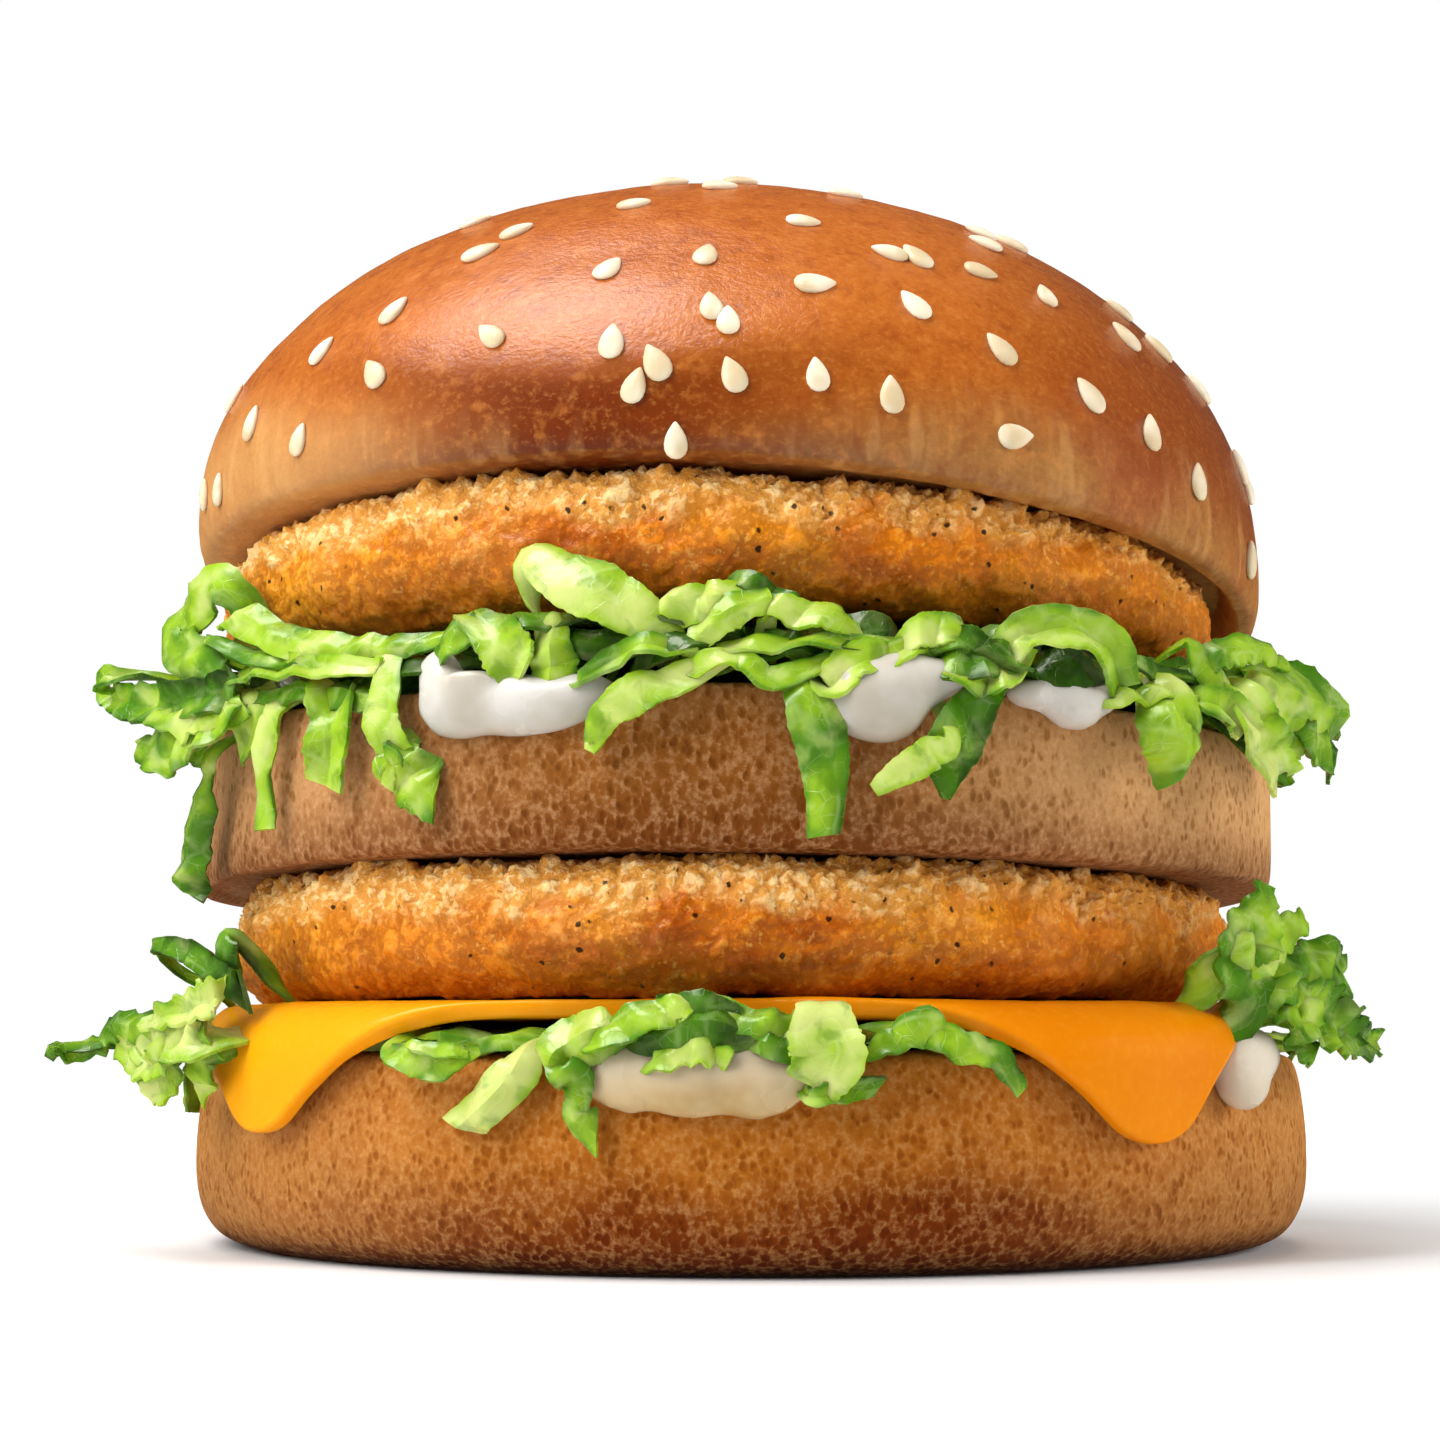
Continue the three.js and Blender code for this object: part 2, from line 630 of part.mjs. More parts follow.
const grownBottomBun = solid(bottomBun(GAP));
const grownMiddleBun = solid(middleBun(GAP));
const grownLowerPatty = solid(lowerPatty(GAP));
const grownUpperPatty = solid(upperPatty(GAP));
const grownCheese = solid(cheese(GAP));

const lowerLettuce = geometryOf(
  cutBy(lowerHeap(), [grownBottomBun, grownCheese, grownLowerPatty, grownMiddleBun]),
);
const upperLettuce = geometryOf(cutBy(upperHeap(), [grownMiddleBun, grownUpperPatty]));
const lowerMayo = geometryOf(
  cutBy(mayo(bottomBunTop, LOWER_TONGUES, LOWER_DROPS, 0), [grownBottomBun, grownCheese, lowerHeap(GAP)]),
);
const upperMayo = geometryOf(
  cutBy(
    mayo(MIDDLE_BUN_TOP, UPPER_TONGUES, UPPER_DROPS, MIDDLE_BUN.shift),
    [grownMiddleBun, upperHeap(GAP)],
  ),
);

// ---------------------------------------------------------------------------------------------
// The burger, from the table up
// ---------------------------------------------------------------------------------------------

const burger = new THREE.Group();
burger.add(
  named('bottom_bun', bottomBun(), 0xb07a42, 0.75),
  named('lower_mayo', lowerMayo, 0xefe3c8, 0.3),
  named('lower_lettuce', lowerLettuce, 0x86b83c, 0.45),
  named('cheese_slice', cheese(), 0xffa41c, 0.35),
  named('lower_patty', lowerPatty(), 0xc97420, 0.65),
  named('middle_bun', middleBun(), 0xb98a5e, 0.8),
  named('upper_mayo', upperMayo, 0xf2f0ec, 0.3),
  named('upper_lettuce', upperLettuce, 0x8fc046, 0.45),
  named('upper_patty', upperPatty(), 0xd58a2a, 0.65),
  named('top_bun', seededCrown(), 0xb5622a, 0.4),
);

export default burger;
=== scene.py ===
# Double chicken burger: a three-layer sesame bun with two breaded patties, shredded lettuce,
# mayonnaise and one slice of cheese. Lengths are millimetres, times MM where Blender takes them.
# +Z is up, the front looks along -Y, and the foot of the bottom bun stands on z = 0.

import math

import bmesh
import bpy
import numpy as np
from mathutils import Euler, Matrix, Vector


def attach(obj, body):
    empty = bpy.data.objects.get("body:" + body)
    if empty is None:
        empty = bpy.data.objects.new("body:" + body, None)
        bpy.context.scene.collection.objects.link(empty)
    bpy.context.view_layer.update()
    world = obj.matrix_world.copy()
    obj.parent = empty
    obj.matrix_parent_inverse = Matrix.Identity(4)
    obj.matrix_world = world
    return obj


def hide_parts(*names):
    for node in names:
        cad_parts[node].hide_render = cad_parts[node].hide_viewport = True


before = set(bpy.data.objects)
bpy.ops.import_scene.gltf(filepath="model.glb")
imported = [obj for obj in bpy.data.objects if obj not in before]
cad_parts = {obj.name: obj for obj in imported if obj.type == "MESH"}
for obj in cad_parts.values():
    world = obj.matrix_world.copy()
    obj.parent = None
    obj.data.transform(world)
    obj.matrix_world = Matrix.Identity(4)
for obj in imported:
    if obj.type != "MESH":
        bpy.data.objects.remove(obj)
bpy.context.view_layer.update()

# ------------------------------
# Studio: a plain pale floor in a white room, lit by large soft lamps and seen from low down
# in front. None of it belongs to the burger.
# ------------------------------

MM = 0.001
FRAME_PIXELS = 1440
SENSOR = 36
LENS = 67.65
EYE = Vector((-2.8, -260, 16.7)) * MM
EYE_LIFT = math.radians(7.16)
FLOOR_SIDE = 8000
BURGER_MIDDLE = Vector((0, 0, 50)) * MM
ROOM_LIGHT = 0.15
ROOM_MIRRORED = 0.07
HAZE_NEAR = 0.13
HAZE_FAR = 0.5


def add_node(tree, kind, inputs=None, **settings):
    """Adds a node; inputs maps socket names or numbers to values or other nodes' sockets"""
    node = tree.nodes.new(kind)
    for key, value in settings.items():
        setattr(node, key, value)
    for key, value in (inputs or {}).items():
        if isinstance(value, bpy.types.NodeSocket):
            tree.links.new(value, node.inputs[key])
        else:
            node.inputs[key].default_value = value
    return node


def chain(kind, inputs, out=0, **settings):
    """Adds a node behind others, in the tree of its first linked input, and gives one output"""
    tree = next(value.id_data for value in inputs.values() if isinstance(value, bpy.types.NodeSocket))
    return add_node(tree, kind, inputs, **settings).outputs[out]


def softbox(name, spot, side, watts, mirrored):
    """Hangs a square soft lamp at a place in millimetres, aimed at the middle of the burger. A
    lamp behind a polarising screen isn't mirrored in glossy skins."""
    lamp = bpy.data.lights.new(name, "AREA")
    lamp.size = side * MM
    lamp.energy = watts
    holder = bpy.data.objects.new(name, lamp)
    bpy.context.collection.objects.link(holder)
    holder.location = Vector(spot) * MM
    aim = BURGER_MIDDLE - holder.location
    holder.rotation_euler = aim.to_track_quat("-Z", "Y").to_euler()
    holder.visible_glossy = mirrored


bpy.context.scene.view_settings.view_transform = "Standard"

eye = bpy.data.objects.new("camera", bpy.data.cameras.new("camera"))
bpy.context.collection.objects.link(eye)
eye.location = EYE
eye.rotation_euler = (math.radians(90) + EYE_LIFT, 0, 0)
eye.data.lens = LENS
eye.data.sensor_width = SENSOR
bpy.context.scene.camera = eye

room = bpy.data.worlds.new("white_room")
bpy.context.scene.world = room
room.use_nodes = True
room.node_tree.nodes.clear()
seen = add_node(room.node_tree, "ShaderNodeLightPath").outputs
glow = chain("ShaderNodeMapRange", {
    "Value": seen["Is Glossy Ray"], "To Min": ROOM_LIGHT, "To Max": ROOM_MIRRORED,
})
glow = chain("ShaderNodeMath", {0: glow, 1: seen["Is Camera Ray"]}, operation="MAXIMUM")
sky = chain("ShaderNodeBackground", {"Color": (1, 1, 1, 1), "Strength": glow})
add_node(room.node_tree, "ShaderNodeOutputWorld", {"Surface": sky})

softbox("key_lamp", (-235, -150, 632), 420, 3.8, True)
softbox("front_lamp", (-330, -370, 320), 320, 1.8, False)
softbox("top_lamp", (60, 330, 520), 340, 1.2, False)
softbox("left_lamp", (-480, -160, 190), 520, 0.8, False)
softbox("right_lamp", (500, -60, 170), 280, 1.8, False)

bpy.ops.mesh.primitive_plane_add(size=FLOOR_SIDE * MM)
floor = bpy.context.object
floor.name = "floor"
pale = bpy.data.materials.new("pale_floor")
pale.use_nodes = True
matt = pale.node_tree.nodes["Principled BSDF"].inputs
matt["Base Color"].default_value = (0.92, 0.92, 0.92, 1)
matt["Roughness"].default_value = 0.7
matt["Emission Strength"].default_value = 1
# far from the burger the floor glows for the camera alone, so that it melts into the white room
place = add_node(pale.node_tree, "ShaderNodeTexCoord").outputs["Object"]
far = chain("ShaderNodeVectorMath", {0: place}, "Value", operation="LENGTH")
haze = chain("ShaderNodeMapRange", {"Value": far, "From Min": HAZE_NEAR, "From Max": HAZE_FAR})
seen = add_node(pale.node_tree, "ShaderNodeLightPath").outputs["Is Camera Ray"]
glow = chain("ShaderNodeMath", {0: haze, 1: seen}, operation="MULTIPLY")
pale.node_tree.links.new(glow, matt["Emission Color"])
floor.data.materials.append(pale)
floor.visible_glossy = False

# ------------------------------
# Bottom bun: soft wheat bread baked in a round pan, flat below and cut flat on top, its
# browned side full of fine upright pores. The filling presses its top down a little.
# ------------------------------

BOTTOM_RADIUS = 52
BOTTOM_FOOT = 46.5
BOTTOM_TOP = 17.5
BOTTOM_DISH = 1.5
BOTTOM_DISH_RADIUS = 48
BOTTOM_SIDES = 96
FINE = 3
INNER_RINGS = (30, 15)


def extrude_ring(old, new):
    """Extrudes the selected ring from one (radius, height) to the next"""
    rise = {"value": (0, 0, (new[1] - old[1]) * MM)}
    bpy.ops.mesh.extrude_region_move(TRANSFORM_OT_translate=rise)
    scale = new[0] / old[0]
    bpy.ops.transform.resize(value=(scale, scale, 1), center_override=(0, 0, new[1] * MM))


def raise_rings(name, sides, outline, levels, below=(), above=()):
    """Models a round piece: a circle extruded ring by ring up its side and rounded off. Then the
    openings below and above are closed with flat rings of the given radii and a last face."""
    bpy.ops.mesh.primitive_circle_add(vertices=sides, radius=outline[0][0] * MM)
    piece = bpy.context.object
    piece.name = piece.data.name = name
    bpy.ops.object.mode_set(mode="EDIT")
    bpy.ops.mesh.select_all(action="SELECT")
    bpy.ops.transform.translate(value=(0, 0, outline[0][1] * MM))
    for old, new in zip(outline, outline[1:]):
        extrude_ring(old, new)
    bpy.ops.object.mode_set(mode="OBJECT")
    modify(piece, "SUBSURF", levels=levels, render_levels=levels)
    bpy.ops.object.mode_set(mode="EDIT")
    bpy.ops.mesh.select_mode(type="EDGE")
    middle = (outline[0][1] + outline[-1][1]) / 2 * MM
    for radii, (radius, height) in ((below, outline[0]), (above, outline[-1])):
        skin = bmesh.from_edit_mesh(piece.data)
        bpy.ops.mesh.select_all(action="DESELECT")
        for edge in skin.edges:
            if edge.is_boundary and (edge.verts[0].co.z > middle) == (height * MM > middle):
                edge.select = True
        bmesh.update_edit_mesh(piece.data)
        for inner in radii:
            extrude_ring((radius, height), (inner, height))
            radius = inner
        bpy.ops.mesh.edge_face_add()
    bpy.ops.mesh.select_all(action="SELECT")
    bpy.ops.mesh.normals_make_consistent(inside=False)
    bpy.ops.object.mode_set(mode="OBJECT")
    return piece


def pick(*pieces):
    """Selects pieces and makes the first one active"""
    bpy.ops.object.select_all(action="DESELECT")
    for piece in pieces:
        piece.select_set(True)
    bpy.context.view_layer.objects.active = pieces[0]


def modify(piece, kind, **settings):
    """Adds one modifier to a piece and applies it"""
    step = piece.modifiers.new(kind.lower(), kind)
    for key, value in settings.items():
        setattr(step, key, value)
    pick(piece)
    bpy.ops.object.modifier_apply(modifier=step.name)


def points_of(piece):
    """The piece's points as three arrays in millimetres"""
    spots = np.empty(len(piece.data.vertices) * 3, np.float32)
    piece.data.vertices.foreach_get("co", spots)
    return (spots.reshape(-1, 3) / MM).T


def reshape(piece, move):
    """Moves every point of a piece by a rule from x, y, z to x, y, z in millimetres"""
    spots = np.stack(move(*points_of(piece)), axis=1) * MM
    piece.data.vertices.foreach_set("co", spots.astype(np.float32).ravel())
    piece.data.update()


def note(piece, **numbers):
    """Writes one number for each point under each name, for the piece's relief and finish"""
    for name, values in numbers.items():
        layer = piece.data.attributes.new(name, "FLOAT", "POINT")
        layer.data.foreach_set("value", np.asarray(values, np.float32))


def bearing(x, y):
    """Angle round the burger: 0 at the front, positive to the right"""
    return np.arctan2(x, -y)


def wobble(x, y, amount, phase):
    """Scales a round slowly in and out, because bakes and cuts are never quite circular"""
    angle = bearing(x, y)
    scale = 1 + amount * (np.sin(2 * angle + phase) + 0.7 * np.sin(3 * angle + 2 * phase))
    return x * scale, y * scale


def emboss(piece, pattern, depth):
    """Raises a piece's skin along its normals by a pattern of nodes times a depth"""
    tree = bpy.data.node_groups.new("emboss", "GeometryNodeTree")
    for way in ("INPUT", "OUTPUT"):
        tree.interface.new_socket("Geometry", in_out=way, socket_type="NodeSocketGeometry")
    skin = add_node(tree, "NodeGroupInput").outputs[0]
    place = add_node(tree, "GeometryNodeInputPosition").outputs[0]
    normal = add_node(tree, "GeometryNodeInputNormal").outputs[0]
    height = times(pattern(place), depth * MM)
    step = chain("ShaderNodeVectorMath", {0: normal, "Scale": height}, operation="SCALE")
    moved = chain("GeometryNodeSetPosition", {"Geometry": skin, "Offset": step})
    add_node(tree, "NodeGroupOutput", {0: moved})
    modify(piece, "NODES", node_group=tree)
    bpy.data.node_groups.remove(tree)


def maths(operation, first, second=0.0):
    """One Math node"""
    return chain("ShaderNodeMath", {0: first, 1: second}, operation=operation)


def times(first, second):
    return maths("MULTIPLY", first, second)


def plus(first, second):
    return maths("ADD", first, second)


def between(value, low, high, start=0.0, end=1.0):
    """Maps low..high to start..end smoothly and holds it beyond"""
    sockets = {"Value": value, "From Min": low, "From Max": high, "To Min": start, "To Max": end}
    return chain("ShaderNodeMapRange", sockets, interpolation_type="SMOOTHSTEP")


def vectors(operation, first, second):
    """One Vector Math node"""
    return chain("ShaderNodeVectorMath", {0: first, 1: second}, operation=operation)


def stretched(place, scale):
    """Places of a pattern that is stretched by 1 / scale along each axis"""
    return vectors("MULTIPLY", place, scale)


def axis(place, letter):
    """One coordinate of a place"""
    return chain("ShaderNodeSeparateXYZ", {0: place}, letter)


def mottle(place, size, detail=2.0, rough=0.5):
    """Soft noise from 0 to 1 with spots of about that many millimetres"""
    sockets = {"Vector": place, "Scale": 1 / (size * MM), "Detail": detail, "Roughness": rough}
    return chain("ShaderNodeTexNoise", sockets)


def rolling(place, size, height, detail=2.0, rough=0.5):
    """The same noise round 0, over a height"""
    return times(plus(mottle(place, size, detail, rough), -0.5), height)


def cells(place, size, feature="F1"):
    """Distance to the nearest cell centre, from 0 to about 1, for cells of that many millimetres"""
    sockets = {"Vector": place, "Scale": 1 / (size * MM)}
    return chain("ShaderNodeTexVoronoi", sockets, "Distance", feature=feature)


def read(place, name):
    """The number that note() wrote for each point, in the shader or geometry nodes of a place"""
    tree = place.id_data
    if tree.bl_idname == "GeometryNodeTree":
        return add_node(tree, "GeometryNodeInputNamedAttribute", {"Name": name}).outputs[0]
    return add_node(tree, "ShaderNodeAttribute", attribute_name=name).outputs["Fac"]


def shared(name, build, results, **values):
    """Adds a node group that several finishes share, and makes it when it is first asked for. The
    names of values and results are its sockets; build makes the results out of the values."""
    kinds = {"VECTOR": "NodeSocketVector", "VALUE": "NodeSocketFloat", "RGBA": "NodeSocketColor"}
    group = bpy.data.node_groups.get(name)
    if not group:
        group = bpy.data.node_groups.new(name, "ShaderNodeTree")
        for label, value in values.items():
            kind = getattr(value, "type", "RGBA" if isinstance(value, tuple) else "VALUE")
            group.interface.new_socket(label, in_out="INPUT", socket_type=kinds[kind])
        made = build(*list(add_node(group, "NodeGroupInput").outputs)[:-1])
        for label, value in zip(results, made):
            group.interface.new_socket(label, in_out="OUTPUT", socket_type=kinds[value.type])
        add_node(group, "NodeGroupOutput", dict(zip(results, made)))
    used = add_node(values["Place"].id_data, "ShaderNodeGroup", values, node_tree=group)
    return [used.outputs[label] for label in results]


def adrift(place, size, reach):
    """Places pushed about by up to that many millimetres, in swirls of a size"""
    push = chain("ShaderNodeTexNoise", {"Vector": place, "Scale": 1 / (size * MM)}, "Color")
    push = vectors("SUBTRACT", push, (0.5, 0.5, 0.5))
    return vectors("ADD", place, stretched(push, (2 * reach * MM,) * 3))


def pores(place, tallness):
    """Dimples of baked bread, taller than wide: 0 in a deep dimple, about 0.6 on the skin"""
    tall = stretched(place, chain("ShaderNodeCombineXYZ", {0: 1.0, 1: 1.0, 2: tallness}))
    dense = between(mottle(tall, 3.2, 2), 0.36, 0.56, 0.35, 1)
    dimple = between(cells(adrift(tall, 0.9, 0.3), 0.7), 0.62, 0.12)
    dimple = times(dimple, between(mottle(tall, 1.1, 2), 0.38, 0.6, 0.3, 1))
    large = between(cells(adrift(tall, 1.2, 0.4), 1.7), 0.4, 0.05)
    holes = maths("MAXIMUM", times(dense, dimple), times(large, 0.4))
    return plus(0.6, plus(times(holes, -0.6), rolling(place, 0.4, 0.5, 3, 0.6)))


def build_grain(place):
    """Very fine unevenness of a dry skin, from 0 to 1"""
    return [mottle(place, 0.5, 4, 0.6)]


def grain(place):
    return shared("fine_grain", build_grain, ["Grain"], Place=place)[0]


def linear(hex_colour):
    """A colour written as RRGGBB, as Blender's linear values"""
    parts = [int(hex_colour[i:i + 2], 16) / 255 for i in (0, 2, 4)]
    return (*[p / 12.92 if p <= 0.04045 else ((p + 0.055) / 1.055) ** 2.4 for p in parts], 1)


def tint(share, under, over, mode="MIX"):
    """Lays one colour over another by a share"""
    under, over = [linear(value) if isinstance(value, str) else value for value in (under, over)]
    return chain("ShaderNodeMix", {0: share, 6: under, 7: over}, 2, data_type="RGBA", blend_type=mode)


def wash(colour, over, value, low, high, most=1.0):
    """Lays a colour over another where a value nears high, up to a share"""
    return tint(between(value, low, high, 0, most), colour, over)


SKIN_RESULTS = ("Colour", "Roughness", "Height")


def build_bread_skin(place, colour, tallness, dark, pale, pale_share):
    """Upright pores, darker inside and paler on the skin between, with the grain of dry crumb"""
    holes = pores(place, tallness)
    colour = tint(between(holes, 0.56, 0.12), colour, dark, "MULTIPLY")
    colour = wash(colour, pale, holes, 0.5, 0.76, pale_share)
    fine = grain(place)
    colour = tint(0.4, colour, tint(fine, "55381E", "FFFFFF"), "SOFT_LIGHT")
    height = plus(times(holes, 0.18), times(fine, 0.05))
    return colour, between(fine, 0.3, 0.7, 0.65, 0.8), height


def bread_skin(place, colour, tallness, dark, pale, pale_share):
    """Colour, roughness and height of a browned side of bread"""
    return shared(
        "bread_skin", build_bread_skin, SKIN_RESULTS, Place=place, Colour=colour, Tallness=tallness,
        Dark=linear(dark), Pale=linear(pale), Pale_share=pale_share,
    )


def finish(name, paint, **sockets):
    """A material whose shader keeps its plain values, with colour, roughness and relief painted on.
    paint(place) returns the colour, the roughness, and the height in millimetres."""
    material = bpy.data.materials.new(name)
    material.use_nodes = True
    tree = material.node_tree
    shader = tree.nodes["Principled BSDF"]
    for socket, value in sockets.items():
        shader.inputs[socket.replace("_", " ")].default_value = value
    place = add_node(tree, "ShaderNodeTexCoord").outputs["Object"]
    colour, roughness, height = paint(place)
    bump = chain("ShaderNodeBump", {"Height": height, "Distance": MM, "Strength": 1.0})
    for socket, value in (("Base Color", colour), ("Roughness", roughness), ("Normal", bump)):
        tree.links.new(value, shader.inputs[socket])
    return material


def dress(piece, material, slot, *nodes):
    """Gives a finished piece its material, its body and the nodes that it stands for; its slot is not used
    """
    piece.data.materials.clear()
    piece.data.materials.append(material)
    pick(piece)
    bpy.ops.object.shade_smooth()
    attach(piece, "root")
    if nodes:
        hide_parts(*nodes)


def press_top(x, y, z):
    sunk = BOTTOM_DISH * (1 - np.minimum(1, (x * x + y * y) / BOTTOM_DISH_RADIUS ** 2))
    z = z - sunk * np.clip((z - 14.5) / 2.5, 0, 1)
    wide_x, wide_y = wobble(x, y, 0.005, 0.9)
    lifted = z > 0.01
    return np.where(lifted, wide_x, x), np.where(lifted, wide_y, y), z


bottom_bun = raise_rings("bottom_bun_bread", BOTTOM_SIDES, [
    (BOTTOM_FOOT, 0), (BOTTOM_FOOT + 2.6, 0.6), (BOTTOM_FOOT + 4.2, 2), (BOTTOM_FOOT + 5.2, 4.2),
    (BOTTOM_RADIUS, 7.2), (BOTTOM_RADIUS, 10.5), (BOTTOM_RADIUS - 0.4, 14),
    (BOTTOM_RADIUS - 0.8, 16.6), (BOTTOM_RADIUS - 2, BOTTOM_TOP), (46, BOTTOM_TOP),
], FINE, above=(44, *INNER_RINGS))
reshape(bottom_bun, press_top)


def bottom_bun_relief(place):
    """Soft dents and a few pits over the side; none on the foot, which stays flat"""
    up = axis(place, "Z")
    side = between(up, 0.3 * MM, 3 * MM)
    dents = rolling(place, 13, 1.5)
    pits = times(between(cells(place, 3.2), 0.25, 0.1), -0.2)
    return times(plus(dents, pits), side)


emboss(bottom_bun, bottom_bun_relief, 0.5)


def paint_bottom_bun(place):
    up = axis(place, "Z")
    patches = mottle(place, 9, 3)
    # browner in patches, and darker towards the foot as painted shade
    brown = plus(between(up, 12 * MM, 0.5 * MM), times(plus(patches, -0.5), 1.1))
    colour = tint(between(brown, 0.0, 0.9), "A8621A", "6E2C02")
    # painted light: both sides lighter than the middle, which stands in shade
    painted_side_light = maths("ABSOLUTE", axis(place, "X"))
    colour = wash(colour, "BC8244", painted_side_light, 14 * MM, 46 * MM, 0.6)
    # painted shade: darkest where the side turns under at the foot
    colour = wash(colour, "4E1A03", up, 3.2 * MM, 0.2 * MM)
    colour = wash(colour, "C98436", up, 15 * MM, 17 * MM, 0.3)
    return bread_skin(place, colour, 0.75, "DCCAAE", "D8A868", 0.4)


BREAD_GLOW = {
    "Subsurface_Weight": 0.12, "Subsurface_Scale": 0.003, "Subsurface_Radius": (1, 0.5, 0.15),
    "Specular_IOR_Level": 0.2, "Specular_Tint": (1, 0.72, 0.4, 1),
}
bread_base = finish("bread_base", paint_bottom_bun, **BREAD_GLOW)
dress(bottom_bun, bread_base, "bread", "bottom_bun")

# ------------------------------
# Lower mayonnaise: a thin egg and oil sauce spread on the bottom bun, which gathers in drops
# and runs over the bun's edge where the layers press it out.
# ------------------------------

SPREAD_RADIUS = 43
SPREAD_THICK = 0.9
TONGUE_REACH = 10.6
SAUCE_VOXEL = 0.55
LOWER_TONGUES = [(-5, 9), (50, 6)]
# drops as (bearing, radius, height, deep, wide, tall)
LOWER_DROPS = [
    (-10.5, 52.4, 15.4, 2.4, 4.2, 2.8), (-5.6, 52.8, 15.3, 2.6, 4.2, 3.2),
    (-0.2, 52.7, 15.1, 2.5, 4.4, 3.1), (3.2, 52.3, 16, 2, 3.4, 2.2),
    (-13.8, 51.8, 16.6, 2, 3, 1.8), (50.5, 52.8, 17, 2.9, 4, 2.6), (49.6, 53, 14.9, 2.4, 2.6, 2.6),
]


def polar(degrees, radius, height):
    angle = math.radians(degrees)
    return Vector((radius * math.sin(angle), -radius * math.cos(angle), height))


def join(pieces, name):
    """Joins pieces into one"""
    pick(*pieces)
    bpy.ops.object.join()
    pieces[0].name = pieces[0].data.name = name
    return pieces[0]


def drop_of_sauce(degrees, radius, height, deep, wide, tall):
    """One rounded drop: a ball, flattened and turned to face outwards"""
    bpy.ops.mesh.primitive_uv_sphere_add(segments=24, ring_count=16, radius=1)
    drop = bpy.context.object
    turn = Matrix.Rotation(math.radians(degrees), 4, "Z")
    place = Matrix.Translation(polar(degrees, radius, height) * MM)
    drop.data.transform(place @ turn @ Matrix.Diagonal((wide * MM, deep * MM, tall * MM, 1)))
    return drop


def sauce(name, face, tongues, drops, shift):
    """Joins a thin film with its drops into one skin, and lets it flow smooth"""
    film = raise_rings(name, 72, [
        (SPREAD_RADIUS - 0.8, 0), (SPREAD_RADIUS, 0.3), (SPREAD_RADIUS, 0.7), (SPREAD_RADIUS - 0.8, 1),
    ], 1, below=INNER_RINGS, above=INNER_RINGS)

    def spread(x, y, z):
        angle = np.degrees(bearing(x, y))
        pulls = [np.exp(-(((angle - middle) / half) ** 2)) for middle, half in tongues]
        reach = np.hypot(x, y)
        edge = np.clip((reach - 30) / (SPREAD_RADIUS - 31), 0, 1)
        scale = 1 + edge * TONGUE_REACH * np.max(pulls, axis=0) / np.maximum(reach, 1)
        wide_x, wide_y = wobble(x, y, 0.02, 1.4)
        wide_x = wide_x * scale + shift
        wide_y = wide_y * scale
        return wide_x, wide_y, face(wide_x, wide_y) + z * SPREAD_THICK

    reshape(film, spread)
    piece = join([film, *[drop_of_sauce(*drop) for drop in drops]], name)
    modify(piece, "REMESH", mode="VOXEL", voxel_size=SAUCE_VOXEL * MM)
    modify(piece, "SMOOTH", factor=0.5, iterations=20)
    return piece


def bottom_bun_top(x, y):
    return BOTTOM_TOP - BOTTOM_DISH * (1 - np.minimum(1, (x * x + y * y) / BOTTOM_DISH_RADIUS ** 2))


def sauce_flow(place):
    """Slow ripples where the sauce was pressed and pulled"""
    return rolling(stretched(place, (1, 1, 1.6)), 5, 1)


def build_sauce_skin(place, cream, light, right, crest_from, crest_to):
    """Cloudy cream that turns to another colour on the right, and is painted paler along its crest as light
    falling on its top
    """
    flow = mottle(place, 6, 3)
    colour = tint(between(flow, 0.3, 0.7), cream, light)
    colour = wash(colour, right, axis(place, "X"), 22 * MM, 34 * MM, 0.8)
    # painted light: paler towards the top of the sauce, where the light falls
    colour = wash(colour, "E4DCCC", axis(place, "Z"), crest_from, crest_to, 0.4)
    return colour, between(flow, 0.3, 0.7, 0.16, 0.3), times(mottle(place, 0.7, 2), 0.02)


def paint_sauce(cream, light, right, crest):
    return lambda place: shared(
        "sauce_skin", build_sauce_skin, SKIN_RESULTS, Place=place, Cream=linear(cream),
        Light=linear(light), Right=linear(right), Crest_from=(crest - 3) * MM, Crest_to=crest * MM,
    )


SAUCE_GLOW = {
    "Subsurface_Weight": 0.25, "Subsurface_Scale": 0.002, "Subsurface_Radius": (1, 0.85, 0.6),
}
lower_mayo = sauce("lower_mayo_sauce", bottom_bun_top, LOWER_TONGUES, LOWER_DROPS, 0)
emboss(lower_mayo, sauce_flow, 0.5)
cream_sauce = finish("cream_sauce", paint_sauce("AC8C54", "CAB286", "DACFBC", 16.5), **SAUCE_GLOW)
dress(lower_mayo, cream_sauce, "mayonnaise", "lower_mayo")

# ------------------------------
# Lower lettuce: iceberg lettuce cut in strips and heaped on the bottom bun. Thin, wavy and
# springy, the strips lie flat inside and curl, fold and hang over the edge outside.
# ------------------------------

HEAP_RADIUS = 46.8
HEAP_RAGGED = 1.8
LOWER_HEAP_TOP = 19.2
LEAF_THICK = 0.35
ROOT = 43.5
LOW = LOWER_HEAP_TOP - 0.12


def level(height, right, back):
    """A face between two layers: height on the axis, rise to the right and to the back"""
    return lambda x, y: height + right * x + back * y


def raised(face, by):
    return lambda x, y: face(x, y) + by


def draw(item, property_number):
    """Seeded draw from 0 to 1"""
    wave = math.sin(item * 127.1 + property_number * 311.7) * 43758.5453
    return wave - math.floor(wave)


